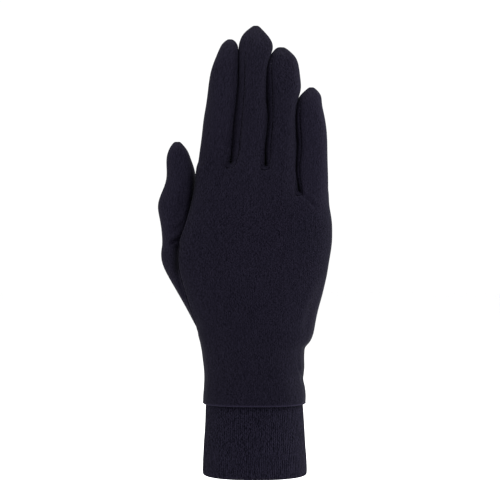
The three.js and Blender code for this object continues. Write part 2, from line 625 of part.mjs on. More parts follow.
// Cuff: a tube of its own, drawn by angle.
const cuffPoints = CUFF_ROWS.flatMap((z) => {
  const s = cuffSection(z);
  return Array.from({ length: CUFF_COLUMNS }, (_, i) => {
    const [across, deep] = roundedPoint((i / CUFF_COLUMNS) * 2 * Math.PI, PALM_SQUARENESS);
    const x = lerp(s.left, s.right, (across + 1) / 2);
    return new THREE.Vector3(x, Math.abs(deep) * (deep < 0 ? s.back : s.palm), z);
  });
});
const cuffPatches = CUFF_ROWS.slice(1).flatMap((_, row) =>
  Array.from({ length: CUFF_COLUMNS }, (_, i) => {
    const [here, next] = [i, (i + 1) % CUFF_COLUMNS].map((c) => row * CUFF_COLUMNS + c);
    return { corners: [here, next, next + CUFF_COLUMNS, here + CUFF_COLUMNS] };
  }),
);

const silk = new THREE.MeshStandardMaterial({ name: "silk_jersey", color: 0x1b1a26, roughness: 0.82 });
const knit = new THREE.MeshStandardMaterial({ name: "cuff_knit", color: 0x1a1924, roughness: 0.88 });

const glove = new THREE.Group();
glove.name = "silk_glove";

function addPiece(name, geometry, material) {
  const mesh = new THREE.Mesh(geometry, material.clone());
  mesh.name = name;
  glove.add(mesh);
}

const normals = pointNormals(net.points, net.patches);
const isHem = (p) => p.z < HEM_HEIGHT + SEAM_SETBACK;
new Set(net.patches.map((patch) => patch.piece)).forEach((name) => {
  const patches = net.patches.filter((patch) => patch.piece === name);
  addPiece(name, thicken(net.points, normals, patches, WALL, isHem), silk);
});
const cuffNormals = pointNormals(cuffPoints, cuffPatches);
addPiece("cuff", thicken(cuffPoints, cuffNormals, cuffPatches, CUFF_WALL, () => true), knit);

export default glove;
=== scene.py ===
# %% [markdown]
# # A silk dress glove
# This lesson builds one right-hand dress glove of fine, very dark navy silk jersey, in the form that it
# has when it is worn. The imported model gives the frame: its solids say where each piece of cloth lies.
# Every piece is modelled again here with its seams, hems, folds and knit.

# %% Load the frame
import math
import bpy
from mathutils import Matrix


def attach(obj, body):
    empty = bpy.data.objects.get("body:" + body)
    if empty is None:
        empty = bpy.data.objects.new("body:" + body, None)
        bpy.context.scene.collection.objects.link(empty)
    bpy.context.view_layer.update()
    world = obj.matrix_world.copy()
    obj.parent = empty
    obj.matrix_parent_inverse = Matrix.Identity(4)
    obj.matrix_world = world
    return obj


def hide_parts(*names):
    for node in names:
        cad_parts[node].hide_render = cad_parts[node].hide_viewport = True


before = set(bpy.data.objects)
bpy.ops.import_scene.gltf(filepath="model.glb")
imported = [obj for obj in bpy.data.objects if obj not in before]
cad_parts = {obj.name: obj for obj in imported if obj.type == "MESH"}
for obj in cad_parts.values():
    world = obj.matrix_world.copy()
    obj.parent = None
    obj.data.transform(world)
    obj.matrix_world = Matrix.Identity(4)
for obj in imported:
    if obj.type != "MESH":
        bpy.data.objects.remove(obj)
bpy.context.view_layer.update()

from types import SimpleNamespace as Named

import bpy
import numpy as np
from mathutils import Matrix, Vector
from mathutils.kdtree import KDTree

MM = 0.001  # the tables below are in millimetres, the scene in metres
bpy.ops.object.select_all(action="DESELECT")
print("solids in the frame:", ", ".join(sorted(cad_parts)))

# %% [markdown]
# ## How the glove is cut
# A real glove is flat cloth. The hand piece is the back and the palm, the thumb is set into an oval hole
# at its side, and three narrow strips, the fourchettes, are the facing sides of neighbouring fingers.
# On the hand they are pulled round, so each level of the glove is a ring. A short table gives the ring's
# outline at a few heights, and a smooth curve through the rows gives all the heights between.

# %% Smooth sections from short tables
def lerp(a, b, t):
    return a + (b - a) * t


def smooth_slopes(at, values):
    """Slopes that keep a curve through the values free of overshoot."""
    rise = np.diff(values) / np.diff(at)
    slopes = [rise[0]]
    for before, after in zip(rise, rise[1:]):
        slopes.append(0.0 if before * after <= 0 else 2 * before * after / (before + after))
    return slopes + [rise[-1]]


def sections(columns, rows):
    """Turns rows of numbers into a function of the first column."""
    at = [row[0] for row in rows]
    values = list(zip(*rows))
    slopes = [smooth_slopes(at, column) for column in values]

    def section(where):
        k = int(np.clip(np.searchsorted(at, where, side="right") - 1, 0, len(at) - 2))
        span = at[k + 1] - at[k]
        t = min(max((where - at[k]) / span, 0.0), 1.0)
        found = {}
        for name, column, slope in zip(columns, values, slopes):
            along = (2 * t**3 - 3 * t**2 + 1) * column[k] + (3 * t**2 - 2 * t**3) * column[k + 1]
            bend = (t**3 - 2 * t**2 + t) * slope[k] + (t**3 - t**2) * slope[k + 1]
            found[name] = along + bend * span
        return Named(**found)

    return section


def table(text):
    """The same from a table in text. Lines or semicolons part its rows, and the first names the columns."""
    columns, *rows = [row.split() for row in text.strip().replace(";", "\n").splitlines()]
    return sections(columns, [[float(number) for number in row] for row in rows])


def swell(v, squareness):
    """How far a rounded outline stands out, from 0 to 1, at v, from -1 to 1 across it."""
    return max(1 - min(abs(v), 1) ** squareness, 0) ** (1 / squareness)


def rounded_point(angle, squareness):
    """A point of a rounded outline of half width and half depth 1."""
    power = 2 / squareness
    sin, cos = math.sin(angle), math.cos(angle)
    return math.copysign(abs(sin) ** power, sin), -math.copysign(abs(cos) ** power, cos)


# %% The hand piece's table
HEM_HEIGHT = 41.3
hand_section = table("""
z left right back palm thumb_edge outer_edge lip thumb_palm
41.3 -29.4 28.9 -20.8 20.2 0 0 1.9 2.2
45 -29.3 29.0 -20.6 20.1 0 0 1.9 2.2
50 -28.9 28.5 -20.1 19.9 0 0 1.9 2.2
55 -28.7 27.5 -19.8 19.6 0 0 1.9 2.2
60 -28.9 28.2 -19.8 19.6 0 0 1.9 2.2
65 -29.5 28.1 -19.7 19.7 0 0 1.9 2.2
70 -30.1 28.3 -19.4 19.9 0 0 1.9 2.2
72 -30.5 28.6 -19.3 20.1 0 0 1.9 2.2
74.5 -30.9 30.7 -19.1 20.6 0 0.6 1.9 2.2
77 -31.6 32.3 -19.0 21.2 0 1.0 1.8 2.2
81 -32.7 33.6 -18.8 21.9 0.3 1.4 1.8 2.2
85.5 -34.0 34.3 -18.5 22.4 0.6 1.6 1.7 2.2
90 -36.3 35.1 -18.1 22.6 0.8 1.6 1.6 2.2
99 -39.4 37.6 -17.6 21.6 0.4 1.2 1.3 2.2
108 -41.6 40.1 -17.2 19.6 -1.5 0.4 1.1 2.1
117 -44.2 41.6 -16.9 17.0 -3.5 -0.6 0.9 1.9
126 -44.2 43.1 -16.6 14.6 -5.0 -1.4 0.8 1.65
135 -41.7 44.0 -16.3 12.9 -5.5 -2.0 0.9 1.5
144 -38.7 43.8 -16.1 12.1 -5.5 -2.2 1.3 1.45
153 -36.3 42.3 -15.9 11.4 -5.2 -2.4 1.7 1.5
162 -34.4 41.9 -15.6 10.6 -4.8 -2.6 2.0 1.7
170 -33.5 41.6 -15.1 9.0 -4.4 -3.0 2.2 2.0
178 -32.6 41.4 -14.4 7.2 -4.0 -3.4 2.4 2.2
""")
BACK_SQUARENESS = 2.4
PALM_SQUARENESS = 2.2
OUTER_LIP = 1.8

# Soft mounds and hollows: side, place, reach and height outwards.
MOUNDS = [
    ("palm", -22, 100, 15, 23, 3.2),  # ball of the thumb
    ("palm", 22, 98, 14, 25, 2.4),  # heel of the hand
    ("palm", 3, 127, 15, 25, -3.6),  # hollow of the palm
    ("back", -22, 167, 7, 8, 0.9),  # the four knuckles
    ("back", -3, 170, 7, 8, 1.1),
    ("back", 15, 165, 7, 8, 0.9),
    ("back", 32, 155, 7, 8, 0.8),
    ("back", 18, 51.5, 9, 8, 2.0),  # wrist bone
]

# %% The fingers' tables
CROTCHES = [  # centre and width, and the height at the back and at the palm
    Named(x=-14.3, width=4.6, back=174.2, palm=178),
    Named(x=5.4, width=4.3, back=173.0, palm=177),
    Named(x=24.4, width=3.7, back=159.0, palm=165),
]
CROTCH_ARCH = 1.6
CROTCH_FLOOR = 0.08
CROTCH_CLOSING = 2.2  # how much faster than the rest the facing sides close above a crotch
KNUCKLE_LINE = Named(z=172, index=172.5, little=157.5, left=-31.6, right=39.7)
FINGERS = [
    Named(
        name="index", seam=34, crown=(-14.4, 3.8, 248.2), fan=184,
        levels=[193, 202, 211, 220, 229, 236, 241, 244.6, 247],
        section=table("""
z left right back palm
176 -32.2 -14.2 -14.2 6.8
184 -31.1 -13.5 -13.2 5.4
194 -29.8 -12.6 -12.6 5.0
204 -28.7 -11.6 -12.0 5.0
214 -27.0 -10.3 -10.6 5.2
223 -26.1 -9.5 -9.2 5.4
231.5 -24.5 -9.4 -8.0 5.6
237 -22.5 -9.3 -6.9 5.6
241 -20.9 -9.4 -5.8 5.3
244.6 -19.3 -9.8 -4.3 4.6
247 -17.3 -11.2 -2.4 3.3
"""),
    ),
    Named(
        name="middle", seam=37, crown=(0.8, 4.5, 256.1), fan=184,
        levels=[193, 202, 211, 220, 229, 236, 241, 245.5, 249.6, 252.6, 254.7],
        section=table("""
z left right back palm
176 -14.2 5.3 -14.6 7.0
184 -13.5 5.2 -13.8 5.6
194 -12.6 6.2 -13.3 5.2
204 -11.6 7.0 -12.8 5.2
214 -10.3 6.1 -12.0 5.2
223 -9.5 6.2 -11.0 5.3
231.5 -9.4 6.4 -9.8 5.4
237 -9.3 8.2 -9.0 5.5
241 -9.2 9.7 -8.2 5.5
245.5 -8.8 9.7 -6.9 5.2
249.6 -7.4 7.6 -5.0 4.4
252.6 -5.3 5.3 -3.1 3.4
254.7 -2.9 3.6 -1.4 2.2
"""),
    ),
    Named(
        name="ring", seam=42, crown=(14.8, 3.2, 243.5), fan=184,
        levels=[193, 202, 211, 218, 225, 232, 236.5, 239.6, 242.2],
        section=table("""
z left right back palm
160 5.4 24.3 -14.6 9.0
176 5.3 22.3 -14.2 7.0
184 5.2 23.3 -13.4 5.4
194 6.2 22.9 -12.7 5.0
204 7.0 22.7 -12.0 5.0
211 6.5 23.7 -11.2 5.0
218 6.1 25.9 -10.4 5.1
225 6.2 25.8 -9.3 5.2
232 6.5 25.0 -8.0 5.2
236.5 8.0 23.7 -6.8 5.0
239.6 9.4 21.5 -5.3 4.4
242.2 11.4 18.9 -2.8 3.1
"""),
    ),
    Named(
        name="little", seam=49, crown=(32.2, 0.8, 220.3), fan=172,
        levels=[180, 188, 196, 204, 209.5, 213.5, 216.5, 219],
        section=table("""
z left right back palm
160 24.4 41.5 -12.6 7.6
172 22.0 41.2 -11.9 5.0
180 22.7 41.0 -11.4 4.2
188 23.4 40.9 -10.8 4.0
196 22.8 40.5 -10.2 4.0
204 22.7 39.3 -9.2 4.2
209.5 23.4 38.2 -8.2 4.3
213.5 24.6 37.9 -6.8 4.0
216.5 26.6 37.1 -5.0 3.2
219 29.2 35.2 -2.8 1.9
"""),
    ),
]
FINGER_PAIRS = [f"{a.name}_{b.name}" for a, b in zip(FINGERS, FINGERS[1:])]
FINGER_GAP = 0.08  # between neighbouring fingers, which press on each other
FINGER_LEAN = -0.15  # x shift per mm of depth
FINGER_SQUARENESS = 2.35
# How square the two facing sides above each crotch are pressed, by height.
PRESSED = [
    table("z squareness; 184 2.25; 200 2.25; 215 2.35; 236 2.5"),
    table("z squareness; 184 2.8; 200 2.8; 213 2.4; 222 2.7; 230 3.6; 238 3.8"),
    table("z squareness; 172 2.6; 190 2.4; 214 2.4"),
]
FINGER_BEND = Named(start=195, reach=60, depth=3.6)
OUTER_SEAM, PALM_SEAM = 64, 56  # degrees from the middle of a finger's back and of its palm
FAN_STEPS = [0.3, 0.62]
CROWN_FULLNESS = 0.62
CROWN_PULL = 0.12
CROWN_SIDE_RISE = 1.3
FOURCHETTE_END = 10  # a fourchette stops this far below the shorter of its two fingertips
LAST = len(FINGERS) - 1
EASING = Named(rounds=3, below=3, above=4)

# %% The thumb's table and the ring counts
thumb_section = table("""
ring outer_x outer_z inner_x inner_z middle_y half_depth
1 -53.4 132.5 -38.8 135.5 9.8 10.7
2 -54.3 143.0 -36.4 144.0 8.9 10.4
3 -55.8 151.7 -35.0 152.0 8.3 10.2
4 -54.4 158.8 -34.0 159.0 7.8 9.9
5 -51.4 166.4 -33.8 166.4 7.5 9.5
6 -50.7 173.4 -34.5 173.4 7.2 8.9
7 -50.8 179.8 -36.6 179.8 7.1 8.0
8 -49.6 184.8 -38.6 184.8 6.8 6.6
9 -47.7 188.2 -41.2 188.2 6.6 4.3
""")
THUMB_RINGS = 9
THUMB_CROWN = (-44.9, 6.4, 189.8)
THUMB_ROOT_STEPS = [0.2, 0.42, 0.65, 0.85]
THUMB_ROOT_BEND = 0.3
THUMB_WEB_DIP = 5
THUMB_SQUARENESS = Named(free=2.2, pressed=2.9)  # pressed where it lies on the hand
THUMB_BULGE = Named(z=117.5, reach=11, out=3.0)  # the ball of the thumb at its outer edge

FACE = 4  # patches over the back and over the palm of a finger
SIDE = 3  # patches down each side of it
FACE_SPREAD = [0, 0.22, 0.5, 0.78, 1]
FACE_COLUMNS = 4 * (FACE + 1)
HALF_RING = FACE_COLUMNS + SIDE - 1
RING = 2 * HALF_RING
LEVEL_ROWS = [HEM_HEIGHT, 45, 50, 55, 60, 65.5, 70, 72.6, 75.4, 79.5, 84, 93, 102, 111, 119, 126, 132]
SPREAD_ROWS = [0.2, 0.4, 0.6, 0.8, 1]
HOLE_ROWS = (LEVEL_ROWS.index(84), LEVEL_ROWS.index(132))  # the thumb's hole
HOLE_COLUMNS = (HALF_RING + FACE_COLUMNS - 1 - 2, RING)
print("hand rings:", len(LEVEL_ROWS) + len(SPREAD_ROWS), "of", RING, "points")

# %% [markdown]
# ## Rings of the hand
# The hand is a tube of rings up to the knuckles. Each ring starts at the thumb's edge of the back, runs
# over the back, down the little finger's side, over the palm and up the thumb's side.

# %% Rings of the hand
points = []  # every point of the glove, in millimetres


def add_point(p):
    points.append(Vector(p))
    return len(points) - 1


knuckle_width = hand_section(KNUCKLE_LINE.z)
column_shares = []
for f in range(len(FINGERS)):
    edge_from = KNUCKLE_LINE.left if f == 0 else CROTCHES[f - 1].x + CROTCHES[f - 1].width / 2
    edge_to = KNUCKLE_LINE.right if f == LAST else CROTCHES[f].x - CROTCHES[f].width / 2
    for share in FACE_SPREAD:
        place = lerp(edge_from, edge_to, share) - knuckle_width.left
        column_shares.append(place / (knuckle_width.right - knuckle_width.left))


def knuckle_height(column, side):
    f, along = divmod(column, FACE + 1)
    lift = 0 if side == "back" else CROTCHES[0].palm - CROTCHES[0].back
    low = KNUCKLE_LINE.index + lift if f == 0 else getattr(CROTCHES[f - 1], side)
    high = KNUCKLE_LINE.little + lift if f == LAST else getattr(CROTCHES[f], side)
    return lerp(low, high, FACE_SPREAD[along])


def mound_height(side, x, z):
    near = [m for m in MOUNDS if m[0] == side]
    return sum(h * math.exp(-(((x - mx) / rx) ** 2) - ((z - mz) / rz) ** 2) for _, mx, mz, rx, rz, h in near)


def hand_face_point(column, z, side):
    s = hand_section(z)
    width = s.right - s.left
    lips = {0: s.lip / width, FACE_COLUMNS - 1: 1 - OUTER_LIP / width}
    share = lips.get(column, column_shares[column])
    v = 2 * share - 1
    palm_squareness = s.thumb_palm if v < 0 else PALM_SQUARENESS
    out = swell(v, BACK_SQUARENESS if side == "back" else palm_squareness)
    x = lerp(s.left, s.right, share)
    edge = lerp(s.thumb_edge, s.outer_edge, share)
    face = s.back if side == "back" else s.palm
    raised = math.copysign(1, face) * mound_height(side, x, z)
    return Vector((x, edge + (face - edge + raised) * out, z))


def hand_side_point(back, palm, way, is_outer):
    p = back.lerp(palm, way)
    s = hand_section(p.z)
    edge = s.outer_edge if is_outer else s.thumb_edge
    palm_squareness = PALM_SQUARENESS if is_outer else s.thumb_palm
    face, squareness = (s.back, BACK_SQUARENESS) if p.y < edge else (s.palm, palm_squareness)
    half = (s.right - s.left) / 2 * swell((p.y - edge) / (face - edge), squareness)
    p.x = (s.left + s.right) / 2 + (half if is_outer else -half)
    return p


def hand_ring(height_of):
    back = [hand_face_point(c, height_of(c, "back"), "back") for c in range(FACE_COLUMNS)]
    palm = [hand_face_point(c, height_of(c, "palm"), "palm") for c in range(FACE_COLUMNS)]
    ways = [(i + 1) / SIDE for i in range(SIDE - 1)]
    outer = [hand_side_point(back[-1], palm[-1], way, True) for way in ways]
    thumb = [hand_side_point(back[0], palm[0], 1 - way, False) for way in ways]
    return [add_point(p) for p in [*back, *outer, *reversed(palm), *thumb]]


hand_rings = [hand_ring(lambda c, side, z=z: z) for z in LEVEL_ROWS]
for s in SPREAD_ROWS:
    hand_rings.append(hand_ring(lambda c, side, s=s: lerp(LEVEL_ROWS[-1], knuckle_height(c, side), s)))
knuckle_ring = hand_rings[-1]

# %% [markdown]
# ## Sheets that meet
# Each part of the net is a grid primitive whose points are put on the rings. The grids share their edge
# points, so merging by distance sews them into one net of four-sided patches. Each patch has the number
# of the cut piece that it belongs to, as its material slot.

# %% Grids placed on rings
PIECES = ["hand", *("fourchette_" + pair for pair in FINGER_PAIRS), "thumb"]
THUMB, HOLE = PIECES.index("thumb"), len(PIECES)
TAGS = [bpy.data.materials.new("tag_" + name) for name in [*PIECES, "hole"]]
sheets = []
MERGE = 1e-6


def mode(kind):
    bpy.ops.object.mode_set(mode=kind)


def pick(*objects):
    """Selects these objects alone and makes the first one active."""
    bpy.ops.object.select_all(action="DESELECT")
    for obj in objects:
        obj.select_set(True)
    bpy.context.view_layer.objects.active = objects[0]


def edit(obj, kind="FACE", numbers=None):
    """Opens one object for editing, with all of it selected or only the numbered edges or faces."""
    pick(obj)
    mode("EDIT")
    bpy.ops.mesh.select_mode(type=kind)
    bpy.ops.mesh.select_all(action="SELECT" if numbers is None else "DESELECT")
    mode("OBJECT")
    for number in numbers or []:
        (obj.data.polygons if kind == "FACE" else obj.data.edges)[number].select = True
    mode("EDIT")


def faces_of(mesh, number):
    return [p.index for p in mesh.polygons if p.material_index == number]


def add_sheet(name, rows, piece_of):
    """A grid whose rows run from the first list of points to the last. piece_of gets row and column."""
    across, up = len(rows[0]) - 1, len(rows) - 1
    bpy.ops.mesh.primitive_grid_add(x_subdivisions=across, y_subdivisions=up, size=1)
    sheet = bpy.context.object
    sheet.name = name
    placed = np.array([points[i] for row in rows for i in row]) * MM
    sheet.data.vertices.foreach_set("co", placed.ravel())
    numbers = [piece_of(r, c) for r in range(up) for c in range(across)]
    for tag in TAGS:
        sheet.data.materials.append(tag)
    sheet.data.polygons.foreach_set("material_index", numbers)
    sheets.append(sheet)


def closed(ring):
    return [*ring, ring[0]]


def hand_patch(row, column):
    in_hole = HOLE_ROWS[0] <= row < HOLE_ROWS[1] and HOLE_COLUMNS[0] <= column < HOLE_COLUMNS[1]
    return HOLE if in_hole else 0


def palm_column(c):
    return HALF_RING + FACE_COLUMNS - 1 - c


# The floor of each crotch, from its back seam to its palm seam.
floors = []
for g, crotch in enumerate(CROTCHES):
    column = (g + 1) * (FACE + 1)
    chains = []
    for side in (-1, 0):
        back, palm = knuckle_ring[column + side], knuckle_ring[palm_column(column + side)]
        middle_y = (points[back].y + points[palm].y) / 2
        between = []
        for i in range(SIDE - 1):
            p = points[back].lerp(points[palm], (i + 1) / SIDE)
            p.x = crotch.x + (side + 0.5) * crotch.width * CROTCH_FLOOR + FINGER_LEAN * (p.y - middle_y)
            p.z += CROTCH_ARCH
            between.append(add_point(p))
        chains.append([back, *between, palm])
    floors.append(Named(thumb_side=chains[0], outer_side=chains[1]))


def crown_rows(ring, face, side, top):
    """A grid of points that closes a ring, drawn up to the top point."""

    def ring_index(r, c):
        if r == 0:
            return c
        if r == side:
            return 2 * face + side - c
        return len(ring) - r if c == 0 else face + r

    rows = []
    for r in range(side + 1):
        row = []
        for c in range(face + 1):
            if r in (0, side) or c in (0, face):
                row.append(ring[ring_index(r, c)])
                continue
            u, v = c / face, r / side
            across = points[ring[ring_index(r, 0)]].lerp(points[ring[ring_index(r, face)]], u)
            down = points[ring[ring_index(0, c)]].lerp(points[ring[ring_index(side, c)]], v)
            p = across.lerp(down, 0.5)
            inward = 2 * min(u, 1 - u, CROWN_SIDE_RISE * v, CROWN_SIDE_RISE * (1 - v))
            p.z = lerp(p.z, top[2], min(CROWN_FULLNESS * (1 + inward), 1))
            p.x = lerp(p.x, top[0], CROWN_PULL)
            p.y = lerp(p.y, top[1], CROWN_PULL)
            row.append(add_point(p))
        rows.append(row)
    return rows


# %% Rings of the fingers
def finger_angles(thumb_side_seam):
    """Angles of a finger's ring of points: back, outer side, palm and thumb side."""
    corners = [-thumb_side_seam, OUTER_SEAM, 180 - PALM_SEAM, 180 + PALM_SEAM, 360 - thumb_side_seam]
    return [
        math.radians(lerp(corners[k], corners[k + 1], i / patches))
        for k, patches in enumerate([FACE, SIDE, FACE, SIDE])
        for i in range(patches)
    ]


SIDE_POINTS = [FACE + 1 + i + k for k in (0, FACE + SIDE) for i in range(SIDE - 1)]


def finger_outline(f, z, section):
    left = section.left + (FINGER_GAP / 2 if f > 0 else 0)
    right = section.right - (FINGER_GAP / 2 if f < LAST else 0)
    bend = FINGER_BEND.depth * (max(z - FINGER_BEND.start, 0) / FINGER_BEND.reach) ** 2
    outline = []
    for i, angle in enumerate(finger_angles(FINGERS[f].seam)):
        g = f if math.sin(angle) > 0 else f - 1
        is_pressed = 0 <= g < len(PRESSED)
        across, deep = rounded_point(angle, PRESSED[g](z).squareness if is_pressed else FINGER_SQUARENESS)
        if is_pressed and i in SIDE_POINTS:
            across = math.copysign(1, across)
        depth = deep * (section.palm - section.back) / 2
        x = (left + right) / 2 + across * (right - left) / 2 + FINGER_LEAN * depth
        outline.append(Vector((x, (section.back + section.palm) / 2 + depth + bend, z)))
    return outline


def ease(chain, ease_across):
    """Evens out a chain of points that climbs from the hand into a finger. Its ends stay."""
    for _ in range(EASING.rounds):
        for below, here, above in zip(chain, chain[1:], chain[2:]):
            low, p, high = points[below], points[here], points[above]
            between = low.lerp(high, (p.z - low.z) / (high.z - low.z))
            p.y = lerp(p.y, between.y, 0.5)
            if ease_across:
                p.x = lerp(p.x, between.x, 0.5)


finger_rings = []
for f, finger in enumerate(FINGERS):
    columns = [f * (FACE + 1) + i for i in range(FACE + 1)]
    outer = knuckle_ring[FACE_COLUMNS:HALF_RING] if f == LAST else floors[f].thumb_side[1:-1]
    inner = knuckle_ring[HALF_RING + FACE_COLUMNS :] if f == 0 else floors[f - 1].outer_side[-2:0:-1]
    base = [
        *[knuckle_ring[c] for c in columns],
        *outer,
        *[knuckle_ring[palm_column(c)] for c in reversed(columns)],
        *inner,
    ]
    level = finger_outline(f, finger.fan, finger.section(finger.fan))
    rings = [base]
    for s in FAN_STEPS:
        ring = []
        for i, point in enumerate(base):
            p = points[point].lerp(level[i], s)
            outline = finger_outline(f, p.z, finger.section(p.z))[i]
            to_side = min(s * CROTCH_CLOSING, 1) if i in SIDE_POINTS else s
            ring.append(add_point((lerp(p.x, outline.x, to_side), lerp(p.y, outline.y, s), p.z)))
        rings.append(ring)
    rings.append([add_point(p) for p in level])
    for z in finger.levels:
        rings.append([add_point(p) for p in finger_outline(f, z, finger.section(z))])
    finger_rings.append(rings)

crowns = [crown_rows(rings[-1], FACE, SIDE, finger.crown) for rings, finger in zip(finger_rings, FINGERS)]
for rings in finger_rings:
    for i, point in enumerate(rings[0]):
        if point not in knuckle_ring:
            continue
        column = knuckle_ring.index(point)
        below = [ring[column] for ring in hand_rings[-1 - EASING.below : -1]]
        above = [ring[i] for ring in rings[1 : 1 + EASING.above]]
        across_face = (column % HALF_RING) % (FACE + 1)
        is_inner = column % HALF_RING < FACE_COLUMNS and 0 < across_face < FACE
        ease([*below, point, *above], is_inner)

# %% Rings of the thumb
hole_outline = [hand_rings[k][0] for k in range(HOLE_ROWS[0], HOLE_ROWS[1])]
hole_outline += [hand_rings[HOLE_ROWS[1]][c % RING] for c in range(RING, HOLE_COLUMNS[0], -1)]
hole_outline += [hand_rings[k][HOLE_COLUMNS[0]] for k in range(HOLE_ROWS[1], HOLE_ROWS[0], -1)]
hole_outline += [hand_rings[HOLE_ROWS[0]][c] for c in range(HOLE_COLUMNS[0], RING)]
HOLE_TALL = HOLE_ROWS[1] - HOLE_ROWS[0]
HOLE_WIDE = HOLE_COLUMNS[1] - HOLE_COLUMNS[0]
HOLE_ROUNDING = 0.6
for corner in (0, HOLE_TALL, HOLE_TALL + HOLE_WIDE, 2 * HOLE_TALL + HOLE_WIDE):
    before, here, after = (points[hole_outline[(corner + k) % len(hole_outline)]] for k in (-1, 0, 1))
    here[:] = here.lerp(before.lerp(after, 0.5), HOLE_ROUNDING)


def thumb_angle(i):
    return (i + HOLE_WIDE / 2) / len(hole_outline) * 2 * math.pi


def thumb_ring(ring):
    s = thumb_section(ring)
    outer = Vector((s.outer_x, s.middle_y, s.outer_z))
    inner = Vector((s.inner_x, s.middle_y, s.inner_z))
    placed = []
    for i in range(len(hole_outline)):
        angle = thumb_angle(i)
        is_pressed = -math.cos(angle) > 0
        squareness = THUMB_SQUARENESS.pressed if is_pressed else THUMB_SQUARENESS.free
        deep, across = rounded_point(angle, squareness)
        p = outer.lerp(inner, (across + 1) / 2)
        p.y -= s.half_depth * deep
        placed.append(p)
    return placed


first_thumb_ring, second_thumb_ring = thumb_ring(1), thumb_ring(2)


def root_point(i, t):
    start, end = points[hole_outline[i]], first_thumb_ring[i]
    along = (second_thumb_ring[i] - end).normalized()
    bend_point = end - along * THUMB_ROOT_BEND * (start - end).length
    bend_point.z -= THUMB_WEB_DIP * max(-math.cos(thumb_angle(i)), 0)
    p = start.lerp(bend_point, t).lerp(bend_point.lerp(end, t), t)
    outwards = max(-rounded_point(thumb_angle(i), THUMB_SQUARENESS.free)[1], 0) ** 2
    p.x -= THUMB_BULGE.out * outwards * math.exp(-(((p.z - THUMB_BULGE.z) / THUMB_BULGE.reach) ** 2))
    return p


thumb_rings = [hole_outline]
for t in THUMB_ROOT_STEPS:
    thumb_rings.append([add_point(root_point(i, t)) for i in range(len(hole_outline))])
for k in range(THUMB_RINGS):
    thumb_rings.append([add_point(p) for p in thumb_ring(k + 1)])
thumb_crown = crown_rows(thumb_rings[-1], HOLE_TALL, HOLE_WIDE, THUMB_CROWN)

# %% Sew the grids into one net
add_sheet("hand_tube", [closed(ring) for ring in hand_rings], hand_patch)
for g, floor in enumerate(floors):
    add_sheet(f"floor_{g}", [floor.outer_side, floor.thumb_side], lambda r, c, g=g: g + 1)


def strip_top(g):
    """The height at which the strip between finger g and the next one ends."""
    return min(FINGERS[g].crown[2], FINGERS[g + 1].crown[2]) - FOURCHETTE_END


def finger_patch(f, rings):
    """On its two sides a finger is made of fourchettes, up to near the shorter fingertip of each pair."""

    def piece_of(row, column):
        z = points[rings[row][0]].z
        if FACE <= column < FACE + SIDE and f < LAST and z < strip_top(f):
            return f + 1
        if column >= 2 * FACE + SIDE and f > 0 and z < strip_top(f - 1):
            return f
        return 0

    return piece_of


for f, rings in enumerate(finger_rings):
    add_sheet(f"finger_{f}", [closed(ring) for ring in rings], finger_patch(f, rings))
    add_sheet(f"crown_{f}", crowns[f], lambda r, c: 0)
add_sheet("thumb_tube", [closed(ring) for ring in thumb_rings], lambda r, c: THUMB)
add_sheet("thumb_crown", thumb_crown, lambda r, c: THUMB)

net = sheets[0]
pick(*sheets)
bpy.ops.object.join()
net.name = "net"
edit(net)
bpy.ops.mesh.remove_doubles(threshold=MERGE)
mode("OBJECT")
edit(net, numbers=faces_of(net.data, HOLE))
bpy.ops.mesh.delete(type="FACE")
mode("OBJECT")
print("net:", len(net.data.vertices), "points,", len(net.data.polygons), "patches,",
      sum(len(p.vertices) != 4 for p in net.data.polygons), "of them not four-sided")

# %% [markdown]
# ## The cutting pattern
# Knit follows the cloth, so each piece needs a flat pattern. The net is cut along its real seams: round
# each fourchette and the thumb's hole, up the little finger's side and over the fingertips. Unwrapping
# lays the pieces flat. The thumb curves the most, so it is laid flat once more in the way that stretches
# its cloth least. Each pattern is then turned and sized to be in metres, with the wales running up the hand.

# %% Cut the net along its seams and lay it flat
where = {tuple(round(c / MM, 3) for c in v.co): v.index for v in net.data.vertices}
vertex_of = [where.get(tuple(round(c, 3) for c in p)) for p in points]
edge_of = {frozenset(e.vertices): e.index for e in net.data.edges}
OUTER_LINE, INNER_LINE, CROWN_ROW = FACE + SIDE - 1, 2 * FACE + SIDE + 1, SIDE - 1
cut_chains = [[ring[FACE_COLUMNS + 1] for ring in hand_rings]]
for f, rings in enumerate(finger_rings):
    outer_end = strip_top(f) if f < LAST else 0
    inner_end = strip_top(f - 1) if f > 0 else math.inf
    cut_chains.append([ring[OUTER_LINE] for ring in rings if points[ring[0]].z >= outer_end])
    cut_chains.append([ring[INNER_LINE] for ring in rings if points[ring[0]].z >= inner_end])
    cut_chains.append(crowns[f][CROWN_ROW])
THUMB_LINE, THUMB_CROWN_ROW = 9, 3
cut_chains.append([ring[THUMB_LINE] for ring in thumb_rings])
cut_chains.append(thumb_crown[THUMB_CROWN_ROW])


def seam_edges(mesh):
    """Numbers of the edges between two cut pieces."""
    sides = {}
    for polygon in mesh.polygons:
        for key in polygon.edge_keys:
            sides.setdefault(key, set()).add(polygon.material_index)
    return [e.index for e in mesh.edges if len(sides.get(e.key, ())) > 1]


for number in seam_edges(net.data):
    net.data.edges[number].use_seam = True
for chain in cut_chains:
    for a, b in zip(chain, chain[1:]):
        net.data.edges[edge_of[frozenset((vertex_of[a], vertex_of[b]))]].use_seam = True
net.data.uv_layers[0].name = "cloth"
edit(net)
bpy.ops.mesh.normals_make_consistent(inside=False)
bpy.ops.uv.unwrap(method="ANGLE_BASED", margin=0.01)
mode("OBJECT")
edit(net, numbers=faces_of(net.data, THUMB))
bpy.ops.uv.unwrap(method="MINIMUM_STRETCH", iterations=40, margin=0.01)
mode("OBJECT")

